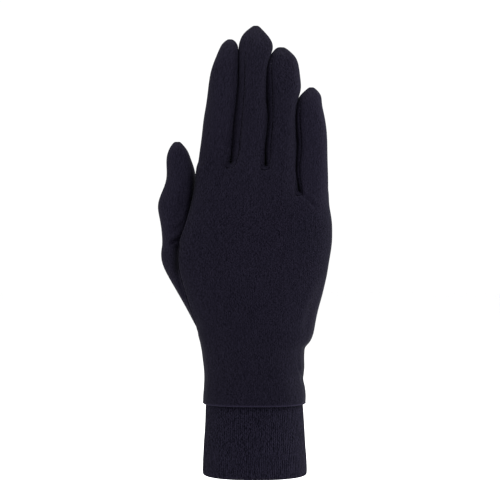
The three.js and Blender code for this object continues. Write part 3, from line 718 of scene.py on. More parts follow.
# Each pattern is turned and sized by the side of its piece that faces one way.
FACING = [(0, -1, 0), (1, 0, 0), (1, 0, 0), (1, 0, 0), (-1, 0, 0)]
FACING_LEAST = 0.75  # how nearly a patch has to face that way


def turn_pattern(mesh, number, facing):
    """Fits the pattern of one piece to its cloth, as seen by one who faces it: up is up, in metres."""
    facing = Vector(facing)
    right = (-facing).cross(Vector((0, 0, 1)))
    uv = mesh.uv_layers["cloth"].data
    flat, real = [], []
    polygons = [mesh.polygons[i] for i in faces_of(mesh, number)]
    for polygon in polygons:
        if polygon.normal.dot(facing) < FACING_LEAST:
            continue
        for loop in polygon.loop_indices:
            co = mesh.vertices[mesh.loops[loop].vertex_index].co
            flat.append(complex(*uv[loop].uv))
            real.append(complex(co.dot(right), co.z))
    flat, real = np.array(flat), np.array(real)
    turn = np.vdot(flat - flat.mean(), real - real.mean()) / np.vdot(flat - flat.mean(), flat - flat.mean())
    for polygon in polygons:
        for loop in polygon.loop_indices:
            place = (complex(*uv[loop].uv) - flat.mean()) * turn + real.mean()
            uv[loop].uv = (place.real, place.imag)
    error = abs((flat - flat.mean()) * turn - (real - real.mean()))
    print(f"{PIECES[number]}: pattern turned {math.degrees(np.angle(turn)):.0f} degrees,",
          f"off by {1000 * error.mean():.1f} mm on average")


for number, facing in enumerate(FACING):
    turn_pattern(net.data, number, facing)

# %% [markdown]
# ## From net to smooth cloth
# Subdivision rounds a net off, and so draws it in a little. The net is first moved out by as much as it
# would shrink, so that the smooth cloth passes through the measured rings.

# %% Smooth the net
SMOOTH_LEVELS = 2
SMOOTH_ROUNDS = 3


def places(mesh):
    flat = np.empty(3 * len(mesh.vertices))
    mesh.vertices.foreach_get("co", flat)
    return flat.reshape(-1, 3)


measured = places(net.data)
bpy.ops.object.modifier_add(type="SUBSURF")
smoothing = net.modifiers[-1]
smoothing.levels = smoothing.render_levels = SMOOTH_LEVELS
smoothing.uv_smooth = "PRESERVE_BOUNDARIES"
for _ in range(SMOOTH_ROUNDS):
    evaluated = net.evaluated_get(bpy.context.evaluated_depsgraph_get()).data
    missing = measured - places(evaluated)[: len(measured)]
    cage = places(net.data) + missing
    net.data.vertices.foreach_set("co", cage.ravel())
    net.data.update()
    print(f"largest shrink left: {1000 * np.linalg.norm(missing, axis=1).max():.2f} mm")
bpy.ops.object.modifier_apply(modifier=smoothing.name)
print("cloth:", len(net.data.polygons), "faces")

# %% [markdown]
# ## Seams
# Where two cut pieces meet, the cloth is turned in and sewn, so the seam lies a little below the cloth
# and the edges beside it swell. A bevel gives each seam its own narrow rows of faces. They are moved later,
# with the folds.

# %% Give the seams their own rows
SEAM_WIDTH = 0.6 * MM
edit(net, "EDGE", seam_edges(net.data))
bpy.ops.mesh.bevel(offset=SEAM_WIDTH, segments=4, affect="EDGES", clamp_overlap=True, loop_slide=True)
mode("OBJECT")
print("seams:", len(seam_edges(net.data)), "edges,", len(net.data.polygons), "faces in the cloth")

# %% [markdown]
# ## Folds
# A worn glove has a few soft folds, where the hand bends and where the cloth pulls from a seam. Each fold
# here is a short line on the back, on the palm or on the thumb's back, with a depth and a width. The cloth
# near it is divided more finely, so that the fold is a real shape, and then pressed in along the normals.

# %% The table of folds
# Side, depth and width, then x and z of the places along the fold.
FOLDS = []
for row in """
back 0.45 0.7  23.6 65  24.8 61.5  26.1 57  27.3 52  # wrist, outer side
back 0.55 2.2  40 113  34.4 100  30 89  28 80  # heel of the hand
back 0.5 1.0  24.4 160.5  27.2 158.4  30.6 155.2  34.5 151  # last crotch
back 0.4 1.6  -15.8 173  -18.6 167  -20.4 160  # first crotch
back 0.3 1.6  5.6 171  3.6 165  2.6 159
thumb 1.6 0.9  -48.8 130.8  -46.6 132.2  -42.6 134.3  -40.5 135  # thumb joint
thumb 0.9 1.2  -49.5 137.5  -46.4 138.9  -42.2 141.2  -40 144
thumb 0.5 2.4  -46.5 139  -42.6 149  -39.6 160  -38.4 168
back 0.22 1.1  10.5 239.4  13.5 240.6  16 240.0  19.2 236.9  # ring fingertip
palm 0.9 1.8  -33 150  -20 143  -9 128  -5 108  -6 92  # ball of the thumb
palm 0.6 1.8  -24 160  -6 154  14 146  32 143  # across the palm
palm 0.6 1.4  -24 78  -8 75  10 75.5  25 79  # wrist
palm 0.45 1.4  -20 68.5  -4 67  14 67.5  24 69.5
palm 0.5 1.3  -26 205.5  -20 204.4  -13.5 205.5  # finger joints
palm 0.5 1.3  -9 207.5  -2.5 206.4  5 207.5
palm 0.5 1.3  10 203.5  16 202.4  22 203.5
palm 0.45 1.2  27 187.5  32.4 186.6  38 187.5
palm 0.4 1.3  -24 227  -18 226.2  -12 227
palm 0.4 1.3  -7 231  -0.5 230.2  6 231
palm 0.4 1.3  10 223.5  16 222.6  23 223.5
""".strip().splitlines():
    face, *numbers = row.split("#")[0].split()
    depth, width, *line = [float(number) for number in numbers]
    FOLDS.append((face, depth, width, list(zip(line[::2], line[1::2]))))
FOLD_REACH = 3.2  # in widths
FOLD_ROLL = Named(height=0.32, place=2.1, width=0.9)  # beside the valley, in depths and widths
FOLD_ENDS = Named(slope=5, least=0.05)
FOLD_SAMPLES = 60  # places at which the distance from a fold is measured
FACING_SIDE = 0.1  # how far round the edge a fold still reaches
SMALL_FACE = 0.7 * MM**2


def normals(mesh):
    return np.array([v.normal for v in mesh.vertices])


def fold_distance(line, at):
    """Distance in mm from the fold's line, seen from its side, and how far along it, from 0 to 1."""
    curve = sections(["t", "x", "z"], [(k, *p) for k, p in enumerate(line)])
    nearest_distance = np.full(len(at), np.inf)
    share = np.zeros(len(at))
    for t in np.linspace(0, 1, FOLD_SAMPLES):
        p = curve(t * (len(line) - 1))
        distance = np.hypot(at[:, 0] / MM - p.x, at[:, 2] / MM - p.z)
        closer = distance < nearest_distance
        nearest_distance[closer] = distance[closer]
        share[closer] = t
    return nearest_distance, share


def on_piece(mesh, name):
    """Which points belong to a cut piece."""
    found = np.zeros(len(mesh.vertices), bool)
    for polygon in mesh.polygons:
        if polygon.material_index == PIECES.index(name):
            found[list(polygon.vertices)] = True
    return found


def faces_fold(face, up, on_thumb):
    if face == "palm":
        return up[:, 1] > -FACING_SIDE
    return (up[:, 1] < FACING_SIDE) & (on_thumb == (face == "thumb"))


def fold_heights(mesh):
    """Height in mm that the folds give each point: a valley with a low roll on each side."""
    at, up, on_thumb = places(mesh), normals(mesh), on_piece(mesh, "thumb")
    total, near = np.zeros(len(at)), np.zeros(len(at), bool)
    for face, depth, width, line in FOLDS:
        distance, share = fold_distance(line, at)
        ends = np.clip(np.minimum(share, 1 - share) * FOLD_ENDS.slope + FOLD_ENDS.least, 0, 1)
        valley = -np.exp(-((distance / width) ** 2))
        beside = (distance - FOLD_ROLL.place * width) / (FOLD_ROLL.width * width)
        roll = FOLD_ROLL.height * np.exp(-(beside**2))
        on_face = faces_fold(face, up, on_thumb)
        total += depth * ends * (valley + roll) * on_face
        near |= on_face & (distance < FOLD_REACH * width)
    return total, near


# %% Divide the cloth near folds and near the thumb's seam
THUMB_GROOVE = Named(
    low=90, high=138, left=-34, front=3, fade=12, depth=2.4, on_hand=0.9, on_thumb=4.0)


def line_points(mesh, numbers, step=0.2 * MM):
    """Points set close together along edges, for measuring distances."""
    found = []
    for number in numbers:
        a, b = (mesh.vertices[i].co for i in mesh.edges[number].vertices)
        count = max(int((b - a).length / step), 1)
        found += [a.lerp(b, i / count) for i in range(count + 1)]
    return found


def nearest(mesh, line):
    """For each point of a mesh, the number of the nearest point of a line and the distance in mm."""
    tree = KDTree(len(line))
    for i, p in enumerate(line):
        tree.insert(p, i)
    tree.balance()
    found = [tree.find(v.co) for v in mesh.vertices]
    return np.array([i for _, i, _ in found]), np.array([d for _, _, d in found]) / MM


def in_groove(p):
    """How strongly the thumb's seam is drawn in at a place, behind the edge of the hand: 0 to 1."""
    z = p.z / MM
    if p.x / MM > THUMB_GROOVE.left or p.y > THUMB_GROOVE.front * MM:
        return 0.0
    return float(np.clip(min(z - THUMB_GROOVE.low, THUMB_GROOVE.high - z) / THUMB_GROOVE.fade, 0, 1))


DIVIDE_ROUNDS = 2
seam_line = line_points(net.data, seam_edges(net.data))
groove = np.array([in_groove(p) for p in seam_line])
for _ in range(DIVIDE_ROUNDS):
    seam_point, from_seam = nearest(net.data, seam_line)
    near = fold_heights(net.data)[1] | ((groove[seam_point] > 0) & (from_seam < THUMB_GROOVE.on_thumb))
    polygons = net.data.polygons
    edit(net, numbers=[p.index for p in polygons if p.area > SMALL_FACE and near[list(p.vertices)].any()])
    bpy.ops.mesh.subdivide(number_cuts=1, smoothness=0.6)
    mode("OBJECT")
    print("divided near folds:", len(net.data.polygons), "faces")

# %% [markdown]
# ## Press in seams and folds
# One table gives a seam's shape across: deep in the middle, with a low swell on each side. The strips'
# seams run out near the fingertips, and the thumb's seam is drawn in behind the edge of the hand.

# %% Move the cloth
SEAM_SHAPE = [(0, -0.7), (0.3, -0.25), (0.6, 0.08), (1.2, 0.12), (2.4, 0)]  # distance and height in mm
SEAM_FADE = 7  # a strip's seams run out over this length below its end
strip_ends = []
for g in range(LAST):
    heights = [points[ring[0]].z for ring in finger_rings[g]]
    strip_ends.append(min(z for z in heights if z >= strip_top(g)))
STRIP_TOPS_X = [-9.4, 6.5, 23.4]  # where the strips end, from the index finger on


def seam_strength(p):
    """1 along a seam, falling to 0 at the end of a strip near the fingertips."""
    g = min(range(LAST), key=lambda k: abs(p.x / MM - STRIP_TOPS_X[k]))
    return float(np.clip((strip_ends[g] - p.z / MM) / SEAM_FADE, 0, 1))


seam_point, from_seam = nearest(net.data, seam_line)
strength = np.array([seam_strength(p) for p in seam_line])[seam_point]
reach = np.where(on_piece(net.data, "thumb"), THUMB_GROOVE.on_thumb, THUMB_GROOVE.on_hand)
drawn_back = THUMB_GROOVE.depth * groove[seam_point] * np.exp(-((from_seam / reach) ** 2))
seam_heights = np.interp(from_seam, *zip(*SEAM_SHAPE)) * strength
heights = seam_heights + fold_heights(net.data)[0]
moved = places(net.data) + normals(net.data) * heights[:, None] * MM
moved[:, 1] += drawn_back * MM
net.data.vertices.foreach_set("co", moved.ravel())
net.data.update()
print(f"pressed in by up to {-heights.min():.2f} mm, raised by up to {heights.max():.2f} mm")

# %% [markdown]
# ## Pieces of cloth
# The cloth is now parted along the seams into the five pieces that a cutter would cut. After the hem is
# turned, Solidify gives each its thickness inwards and keeps the outer face where it was measured.

# %% Part the cloth into its pieces
def seam_loops(mesh):
    """The seams as closed loops of points, each with the normals of the cloth along it."""
    beside = {}
    for number in seam_edges(mesh):
        a, b = mesh.edges[number].vertices
        beside.setdefault(a, []).append(b)
        beside.setdefault(b, []).append(a)
    loops = []
    while beside:
        here = min(beside)
        loop = []
        while here in beside:
            loop.append(here)
            following = [v for v in beside.pop(here) if v in beside]
            here = following[0] if following else None
        loops.append([(mesh.vertices[v].co.copy(), mesh.vertices[v].normal.copy()) for v in loop])
    return loops


seams = seam_loops(net.data)
print("seam loops:", [len(loop) for loop in seams])

CLOTH = 0.5 * MM
edit(net)
bpy.ops.mesh.separate(type="MATERIAL")
mode("OBJECT")
cloth = {}
for obj in [o for o in bpy.context.scene.objects if o.type == "MESH" and o.name.startswith("net")]:
    name = obj.data.materials[obj.data.polygons[0].material_index].name[len("tag_") :]
    obj.name = obj.data.name = name + "_cloth"
    obj.data.materials.clear()
    cloth[name] = obj
print("pieces:", ", ".join(f"{name} {len(obj.data.polygons)}" for name, obj in sorted(cloth.items())))

# %% [markdown]
# ## Hem
# The lower edge of the hand piece is turned in and up, so its rim is round and it stands off the cuff.
# It is made as on a sewing table: the edge is extruded round the fold in a few short steps.

# %% Turn the hem
HEM_CENTRE = (-0.25 * MM, -0.3 * MM)
HEM_HALF = (29.15 * MM, 20.5 * MM)
HEM_FOLD = [(-0.12, -0.2), (-0.06, -0.45), (0.2, -0.68), (0.55, -0.7), (0.85, -0.5), (1.0, -0.1), (1.0, 0.8),
            (1.0, 3.5), (1.0, 7.0)]  # inwards and up


def open_edges(obj, lowest, highest):
    count = {}
    for polygon in obj.data.polygons:
        for key in polygon.edge_keys:
            count[key] = count.get(key, 0) + 1
    heights = [v.co.z for v in obj.data.vertices]
    return [e.index for e in obj.data.edges
            if count.get(e.key) == 1 and all(lowest < heights[i] < highest for i in e.vertices)]


def fold_edge(obj, edges, centre, half, steps):
    """Extrudes an edge loop along steps of (inward, upward) millimetres and gives the new cloth its knit."""
    edit(obj, "EDGE", edges)
    length_of = {}
    inward_before, up_before, length = 0, 0, 0
    for inward, up in steps:
        known = len(obj.data.vertices)
        bpy.ops.mesh.extrude_edges_move()
        shrink = [1 - (inward - inward_before) * MM / (h - inward_before * MM) for h in half]
        bpy.ops.transform.resize(value=(*shrink, 1), center_override=(*centre, 0))
        bpy.ops.transform.translate(value=(0, 0, (up - up_before) * MM))
        length += math.hypot(inward - inward_before, up - up_before) * MM
        inward_before, up_before = inward, up
        mode("OBJECT")
        for vertex in range(known, len(obj.data.vertices)):
            length_of[vertex] = length
        mode("EDIT")
    mode("OBJECT")
    uv = obj.data.uv_layers["cloth"].data
    for loop in obj.data.loops:
        if loop.vertex_index in length_of:
            uv[loop.index].uv.y -= length_of[loop.vertex_index]


def paint_light(obj, amount_at):
    """Writes the painted light of each point of a piece, or below 0 its painted shade."""
    worn = obj.data.attributes.new("worn", "FLOAT", "POINT")
    worn.data.foreach_set("value", [amount_at(v.co) for v in obj.data.vertices])


hand = cloth["hand"]
fold_edge(hand, open_edges(hand, 0, 60 * MM), HEM_CENTRE, HEM_HALF, HEM_FOLD)
# A painted highlight along the hem's round rim.
HEM_HIGHLIGHT = Named(z=41.0, reach=0.26)
# How much painted shade lies in the fold beside the thumb, and how far that reaches over the hand and over
# the thumb.
thumb_shade = table("""
z dark on_hand on_thumb
106 0 1.0 1.0
112 0.2 1.0 1.2
118 0.9 1.5 2.4
128 0.85 1.4 2.4
134 0.1 1.2 1.6
146 0.1 1.2 1.4
153 0.7 1.1 1.4
166 0.75 1.0 1.3
176 0 1.0 1.3
""")
# Painted light on the thumb and on the little and index fingers, and painted shade at the wrist: how much
# lighter, below 0 darker.
PAINTED_REGION_LIGHT = Named(thumb=0.12, little=0.12, index=0.05, wrist=-0.05)  # how much lighter
SHADE_DEPTH = 6 * MM  # the fold beside the thumb is shaded up to here


def ramp(value, start, end):
    """0 up to the start, 1 from the end on."""
    return min(max((value - start) / (end - start), 0), 1)


def thumb_fold(p, side):
    """How much painted shade darkens the cloth deep between the edge of the hand and the thumb."""
    shade = thumb_shade(p.z / MM)
    beside = (p.x / MM - hand_section(p.z / MM).left) / getattr(shade, side)
    return shade.dark * math.exp(-(beside**2)) if p.y < SHADE_DEPTH else 0.0


def hand_painted_light(p):
    """Painted highlight at the hem's rim, painted light on the little and index fingers, painted shade at the
    wrist and in the fold by the thumb.
    """
    x, z = p.x / MM, p.z / MM
    little = PAINTED_REGION_LIGHT.little * ramp(x, 23.5, 25.5) * ramp(z, 140, 170)
    index = PAINTED_REGION_LIGHT.index * ramp(-x, 11, 14) * ramp(z, 175, 200)
    wrist = PAINTED_REGION_LIGHT.wrist * ramp(z, 44, 50) * ramp(-z, -84, -70) * ramp(-x, -22, -12)
    rim = math.exp(-(((z - HEM_HIGHLIGHT.z) / HEM_HIGHLIGHT.reach) ** 2))
    return rim + little + index + wrist - thumb_fold(p, "on_hand")


# Painted light on the thumb's upper part and painted shade in the fold beside the hand.
def thumb_painted_light(p):
    thumb_lighter = PAINTED_REGION_LIGHT.thumb * ramp(p.z / MM, 110, 140)
    return thumb_lighter - thumb_fold(p, "on_thumb")


paint_light(hand, hand_painted_light)
paint_light(cloth["thumb"], thumb_painted_light)
print("hem turned, lowest point", round(min(v.co.z for v in hand.data.vertices) / MM, 2), "mm")

# %% Give the cloth its thickness
for name, obj in cloth.items():
    pick(obj)
    bpy.ops.object.shade_smooth()
    bpy.ops.object.modifier_add(type="SOLIDIFY")
    wall = obj.modifiers[-1]
    wall.thickness = CLOTH
    wall.offset = -1
    bpy.ops.object.modifier_apply(modifier=wall.name)
    print(f"{name}: {len(obj.data.polygons)} faces")

# %% [markdown]
# ## Cuff
# The cuff is a tube of fine rib knit with a rounded lower rim, as cloth folded double has, and its upper
# edge goes in under the hem. One closed grid is wrapped round it: six of its columns make a rib, and its
# rows go down the outside, round the rim and up the inside.

# %% Knit the cuff
cuff_section = table("""
z left right back palm
0 -29.1 29.2 -20.8 20.2
1.4 -29.6 29.7 -21.3 20.7
6 -29.5 29.6 -21.2 20.6
17 -29.0 28.8 -20.6 20.1
28.5 -28.2 28.1 -19.8 19.4
37.5 -27.9 27.5 -19.3 18.8
41.3 -27.8 27.2 -19.2 18.6
47 -27.5 27.0 -18.9 18.4
""")
CUFF_TOP, CUFF_WALL, CUFF_SQUARENESS = 47, 1.7, 2.2
CUFF_TOP_ROUND = 0.8  # the upper edge is rounded over this height
RIM_STEPS, TOP_ANGLES = 8, (0.8, 1.57, 2.34)
RIBS, RIB_COLUMNS, RIB_HEIGHT, RIB_PITCH, RIB_FULLNESS = 136, 6, 0.24, 1.16, 0.8
CUFF_ROW = 1.6  # height of a row
HEM_ROWS = [41.2, 40.8, 40.4, 40.0, 39.6, 39.2]  # close together where the hem throws its shade
HEM_SHADE = Named(z=40.5, reach=0.45, dark=0.85)


def even_angles(count, half_width, half_depth):
    """Angles that follow each other at even steps of length round the cuff."""
    fine = np.linspace(0, 2 * math.pi, 4001)
    x, y = np.array([rounded_point(angle, CUFF_SQUARENESS) for angle in fine]).T
    length = np.cumsum([0, *np.hypot(np.diff(x) * half_width, np.diff(y) * half_depth)])
    return np.interp(np.linspace(0, length[-1], count + 1), length, fine)


def cuff_path():
    """The cuff's wall seen from its side, as (inward, height) in millimetres, all the way round."""
    round_rim = CUFF_WALL / 2
    top_edge = CUFF_TOP - CUFF_TOP_ROUND
    even = np.linspace(top_edge, round_rim, int(CUFF_TOP / CUFF_ROW))
    outside = [(0, z) for z in sorted([*even, *HEM_ROWS], reverse=True)]
    rim = []
    for step in range(1, RIM_STEPS):
        angle = math.pi * step / RIM_STEPS
        rim.append((round_rim * (1 - math.cos(angle)), round_rim * (1 - math.sin(angle))))
    inside = [(CUFF_WALL, z) for _, z in reversed(outside)]
    top = [(round_rim * (1 + math.cos(a)), top_edge + round_rim * math.sin(a)) for a in TOP_ANGLES]
    return [*outside, *rim, *inside, *top, outside[0]]


cuff_rows = cuff_path()
cuff_columns = RIBS * RIB_COLUMNS
cuff_angles = even_angles(cuff_columns, half_width=28.6, half_depth=20)
bpy.ops.mesh.primitive_grid_add(x_subdivisions=cuff_columns, y_subdivisions=len(cuff_rows) - 1, size=1)
cuff = bpy.context.object
cuff.name = cuff.data.name = "cuff_knitted"
placed, flat, along = [], [], 0
for row, (inward, z) in enumerate(cuff_rows):
    s = cuff_section(max(z, 0))
    if row:
        along += math.dist(cuff_rows[row - 1], (inward, z))
    is_outside = 1 - 2 * inward / CUFF_WALL
    for column in range(cuff_columns + 1):
        rib = RIB_HEIGHT * (abs(math.sin(math.pi * column / RIB_COLUMNS)) ** RIB_FULLNESS - 0.5)
        across, deep = rounded_point(cuff_angles[column], CUFF_SQUARENESS)
        out = -inward + rib * is_outside
        x = (s.left + s.right) / 2 + across * ((s.right - s.left) / 2 + out)
        y = (s.back + s.palm) / 2 + deep * ((s.palm - s.back) / 2 + out)
        placed.append((x, y, z))
        flat.append((column / RIB_COLUMNS * RIB_PITCH, -along))
cuff.data.vertices.foreach_set("co", np.ravel(placed) * MM)
cuff.data.uv_layers[0].name = "cloth"
for loop in cuff.data.loops:
    cuff.data.uv_layers["cloth"].data[loop.index].uv = [c * MM for c in flat[loop.vertex_index]]
edit(cuff)
bpy.ops.mesh.remove_doubles(threshold=MERGE)
bpy.ops.mesh.normals_make_consistent(inside=False)
mode("OBJECT")
bpy.ops.object.shade_smooth()
# A painted shadow on the cuff just below the hem's rim.
paint_light(cuff, lambda p: -HEM_SHADE.dark * math.exp(-(((p.z / MM - HEM_SHADE.z) / HEM_SHADE.reach) ** 2)))
print("cuff:", len(cuff.data.polygons), "faces")

# %% [markdown]
# ## Finishes
# Shader maths reads best as plain formulas, so one small class wraps a socket and lets sockets be added,
# multiplied and clamped like numbers.

# %% Sockets that can be used in formulas
class Value:
    def __init__(self, shader, socket):
        self.shader, self.socket = shader, socket

    def math(self, operation, *others):
        return self.shader.node("ShaderNodeMath", {"operation": operation}, [self, *others])

    def __rsub__(self, other):
        return self.shader.node("ShaderNodeMath", {"operation": "SUBTRACT"}, [other, self])

    def clamp(self):
        return self.math("MINIMUM", 1).math("MAXIMUM", 0)


OPERATIONS = {  # what is written in a formula, and the node's operation
    "__add__": "ADD", "__radd__": "ADD", "__sub__": "SUBTRACT", "__mul__": "MULTIPLY", "__rmul__": "MULTIPLY",
    "__truediv__": "DIVIDE", "sin": "SINE", "abs": "ABSOLUTE", "fract": "FRACT", "floor": "FLOOR",
}
for name, operation in OPERATIONS.items():
    setattr(Value, name, lambda self, *others, operation=operation: self.math(operation, *others))


class Finish:
    """A material, with short ways to add nodes and to set the sockets of its shader."""

    def __init__(self, name):
        self.material = bpy.data.materials.new(name)
        self.material.use_nodes = True
        self.nodes = self.material.node_tree.nodes
        self.links = self.material.node_tree.links
        self.shader = next(n for n in self.nodes if n.type == "BSDF_PRINCIPLED")

    def node(self, kind, settings=None, inputs=(), output=0):
        node = self.nodes.new(kind)
        for key, value in (settings or {}).items():
            setattr(node, key, value)
        pairs = inputs.items() if isinstance(inputs, dict) else enumerate(inputs)
        for key, value in pairs:
            self.put(node.inputs[key], value)
        return Value(self, node.outputs[output])

    def put(self, socket, value):
        if isinstance(value, Value):
            self.links.new(value.socket, socket)
        else:
            socket.default_value = value

    def finish(self, values):
        """Sets or links sockets of the surface shader."""
        for key, value in values.items():
            self.put(self.shader.inputs[key], value)
        return self.material

    def mix(self, factor, a, b):
        node = self.nodes.new("ShaderNodeMix")
        node.data_type = "RGBA"
        self.put(node.inputs["Factor"], factor)
        for key, colour in ((6, a), (7, b)):
            self.put(node.inputs[key], colour if isinstance(colour, Value) else (*colour, 1))
        return Value(self, node.outputs[2])

    def noise(self, place, scale, detail):
        inputs = {"Vector": place, "Scale": scale, "Detail": detail}
        return self.node("ShaderNodeTexNoise", {"noise_dimensions": "3D"}, inputs)

    def chance(self, column, row):
        """A random number from 0 to 1 for each cell of a pattern."""
        cell = self.node("ShaderNodeCombineXYZ", inputs=[column, row, 0])
        return self.node("ShaderNodeTexWhiteNoise", {"noise_dimensions": "2D"}, {"Vector": cell})


# %% [markdown]
# ## Silk jersey
# Jersey is a plain knit: columns of small V-shaped loops, the wales. The pattern coordinates are in
# metres, so a wale has its real width. Thread catches light on top of a loop and is darker between two.
# A soft sheen at glancing angles comes from the fine fibres.

# %% Silk jersey and rib knit
NOISE = Named(waves=220, yarn=1150, mottle=2600, cloud=30)  # cells to a metre
LEG_SLANT = 0.35
PAINTED_LIGHT_MIX = Named(share=0.6, lighter=2.4, darker=0.4)  # how painted light and painted shade mix with the knit's light and dark colour
SHEEN = {
    "Specular IOR Level": 0.02, "Sheen Weight": 0.007, "Sheen Roughness": 0.45,
    "Sheen Tint": (0.75, 0.78, 1.0, 1),
}


def knit(name, wale, course, dark, light, contrast, speck, uneven, wander):
    """A knit whose wales wander to the side by a share of their width."""
    finish = Finish(name)
    flat = finish.node("ShaderNodeUVMap", {"uv_map": "cloth"})
    u = finish.node("ShaderNodeSeparateXYZ", inputs=[flat])
    v = Value(finish, u.socket.node.outputs[1])
    place = finish.node("ShaderNodeTexCoord", output="Object")
    waves = finish.noise(place, NOISE.waves, 1) - 0.5
    across = u / wale + wander * waves
    side = 2 * (across.fract() - 0.5).abs()
    along = v / course + LEG_SLANT * side
    loop = 0.5 + 0.5 * (along * 2 * math.pi).sin()
    leg = (side * math.pi).sin()
    thread = (1 - side * side) * (0.5 + 0.35 * loop + 0.15 * leg)
    leg_number, loop_number = (2 * across).floor(), (2 * along).floor()
    lit, beside = (finish.chance(leg_number + step, loop_number) for step in (0, 1))
    yarn = finish.noise(place, NOISE.yarn, 0) - 0.5
    mottle = finish.noise(place, NOISE.mottle, 0) - 0.5
    cloud = finish.noise(place, NOISE.cloud, 2) - 0.5
    speckle = speck * (lit - 0.6 * beside - 0.2) + uneven * yarn
    # The thread term paints light on the tops of the loops and shade between them into the colour; the bump
    # raises the same loops as real relief.
    shade = (0.5 + contrast * (thread - 0.55) + speckle + 0.4 * mottle + 0.2 * cloud).clamp()
    colour = finish.mix(shade, dark, light)
    # The attribute read here carries painted light, mixed towards a lighter colour, and painted shade, mixed
    # towards a darker one.
    attribute = {"attribute_type": "GEOMETRY", "attribute_name": "worn"}
    worn = finish.node("ShaderNodeAttribute", attribute, output=2)
    colour = finish.mix((worn * PAINTED_LIGHT_MIX.share).clamp(), colour, [PAINTED_LIGHT_MIX.lighter * c for c in light])
    colour = finish.mix((worn * -1).clamp(), colour, [PAINTED_LIGHT_MIX.darker * c for c in dark])
    raised = {"Strength": 0.7, "Distance": 0.08 * MM, "Height": thread + 0.5 * mottle}
    bump = finish.node("ShaderNodeBump", inputs=raised)
    return finish.finish({"Base Color": colour, "Roughness": 0.9 - 0.14 * thread, "Normal": bump, **SHEEN})


silk_jersey = knit(
    "silk_jersey", wale=1.15 * MM, course=MM, dark=(0.0002, 0.0001, 0.0011), light=(0.0053, 0.0046, 0.0089),
    contrast=0.1, speck=0.52, uneven=0.75, wander=0.6)
cuff_knit = knit(
    "cuff_knit", wale=RIB_PITCH * MM, course=0.9 * MM, dark=(0, 0, 0.0009), light=(0.0063, 0.0055, 0.0106),
    contrast=0.6, speck=1.0, uneven=1.2, wander=0.4)
for obj in cloth.values():
    obj.data.materials.append(silk_jersey)
cuff.data.materials.append(cuff_knit)

# %% [markdown]
# ## Stitches
# The pieces are joined by a fine thread. Seen from outside it is a row of short stitches that
# cross the seam. One stitch is modelled and copied along each seam, and the copies of a seam are joined.

# %% Sew the stitches
STITCH = Named(step=1.7, length=1.05, thick=0.13, slant=0.35, height=0.18)
STITCHED_FROM = 0.4  # no stitches where the seam is weaker than this
bpy.ops.mesh.primitive_uv_sphere_add(segments=6, ring_count=5, radius=0.5)
stitch = bpy.context.object
edit(stitch)
bpy.ops.transform.resize(value=(STITCH.thick * MM, STITCH.thick * MM, STITCH.length * MM))
mode("OBJECT")
bpy.ops.object.shade_smooth()


def spaced(loop, step):
    """Places along a closed loop at even steps: point, direction and normal."""
    found, left = [], 0.0
    for (a, normal), (b, _) in zip(loop, [*loop[1:], loop[0]]):
        length = (b - a).length
        while left < length:
            found.append((a.lerp(b, left / length), (b - a).normalized(), normal))
            left += step
        left -= length
    return found


def sew(name, loop):
    """Copies the stitch across a seam and joins the copies."""
    copies = []
    for p, along, up in spaced(loop, STITCH.step * MM):
        if seam_strength(p) < STITCHED_FROM:
            continue
        across = (up.cross(along) + STITCH.slant * along).normalized()
        turn = across.to_track_quat("Z", "Y").to_matrix().to_4x4()
        copy = bpy.data.objects.new("stitch", stitch.data.copy())
        copy.matrix_world = Matrix.Translation(p + up * STITCH.height * MM) @ turn
        bpy.context.collection.objects.link(copy)
        copies.append(copy)
    row = copies[0]
    pick(*copies)
    bpy.ops.object.join()
    bpy.ops.object.transform_apply(location=True, rotation=True, scale=True)
    row.name = row.data.name = "stitches_" + name
    print(f"{row.name}: {len(copies)} stitches")
    return row


def seam_middle(loop):
    return sum(p.x for p, _ in loop) / len(loop)


by_place = sorted(seams, key=seam_middle)
stitch_rows = [sew(name, loop) for name, loop in zip([*FINGER_PAIRS, "thumb"], [*by_place[1:], by_place[0]])]
bpy.data.objects.remove(stitch)

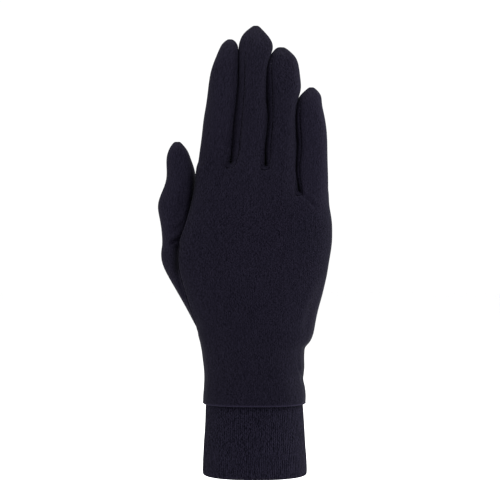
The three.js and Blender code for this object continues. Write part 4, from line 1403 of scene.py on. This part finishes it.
thread = Finish("silk_thread")
thread_shade = thread.noise(thread.node("ShaderNodeTexCoord", output="Object"), 1200, 1)
thread_colour = thread.mix(thread_shade, (0.008, 0.007, 0.014), (0.024, 0.022, 0.036))
thread.finish({"Base Color": thread_colour, "Roughness": 0.6, "Specular IOR Level": 0.25})
for row in stitch_rows:
    row.data.materials.clear()
    row.data.materials.append(thread.material)

# %% [markdown]
# ## Floor, light and camera
# A pale floor well below the glove and a white surround give soft light from all sides.

# %% Stage
bpy.ops.mesh.primitive_circle_add(vertices=96, radius=6, fill_type="NGON", location=(0, 0, -0.1))
floor_disc = bpy.context.object
floor_disc.name = "floor"
bpy.ops.object.transform_apply(location=True)
paint = Finish("floor_white")
floor_disc.data.materials.append(paint.finish({"Base Color": (0.95, 0.95, 0.95, 1), "Roughness": 0.9}))

world = bpy.data.worlds.new("white_surround")
bpy.context.scene.world = world
world.use_nodes = True
surround = world.node_tree.nodes["Background"].inputs
surround["Color"].default_value = (1, 1, 1, 1)
surround["Strength"].default_value = 1.05


def soft_light(name, place, aim, size, power):
    bpy.ops.object.light_add(type="AREA", location=place)
    lamp = bpy.context.object
    lamp.name = name
    lamp.data.shape = "DISK"
    lamp.data.size = size
    lamp.data.energy = power
    lamp.rotation_euler = (Vector(aim) - Vector(place)).to_track_quat("-Z", "Y").to_euler()


soft_light("upper_right", (0.3, -0.42, 0.62), aim=(0, 0, 0.18), size=0.35, power=7.5)
soft_light("right_edge", (0.9, 0.05, 0.35), aim=(0, 0, 0.13), size=0.6, power=18)
soft_light("left_edge", (-0.9, -0.2, 0.45), aim=(-0.03, 0, 0.15), size=0.6, power=12)
soft_light("over_fingertips", (0.12, 0.12, 1.2), aim=(0, 0, 0.2), size=0.5, power=18)

bpy.ops.object.camera_add(location=(-0.0027, -0.70, 0.1277), rotation=(math.pi / 2, 0, 0))
camera = bpy.context.object
camera.data.lens = 88.42
camera.data.sensor_width = 36
camera.data.dof.use_dof = False
bpy.context.scene.camera = camera
bpy.context.scene.view_settings.view_transform = "Standard"

# %% [markdown]
# ## Hand over
# Every piece rides on the one body and names its finish, and the six large ones stand for their solids.

# %% Ride, replace and finish
for name, obj in [*cloth.items(), ("cuff", cuff)]:
    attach(obj, "root")
    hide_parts(name)
for row in stitch_rows:
    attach(row, "root")
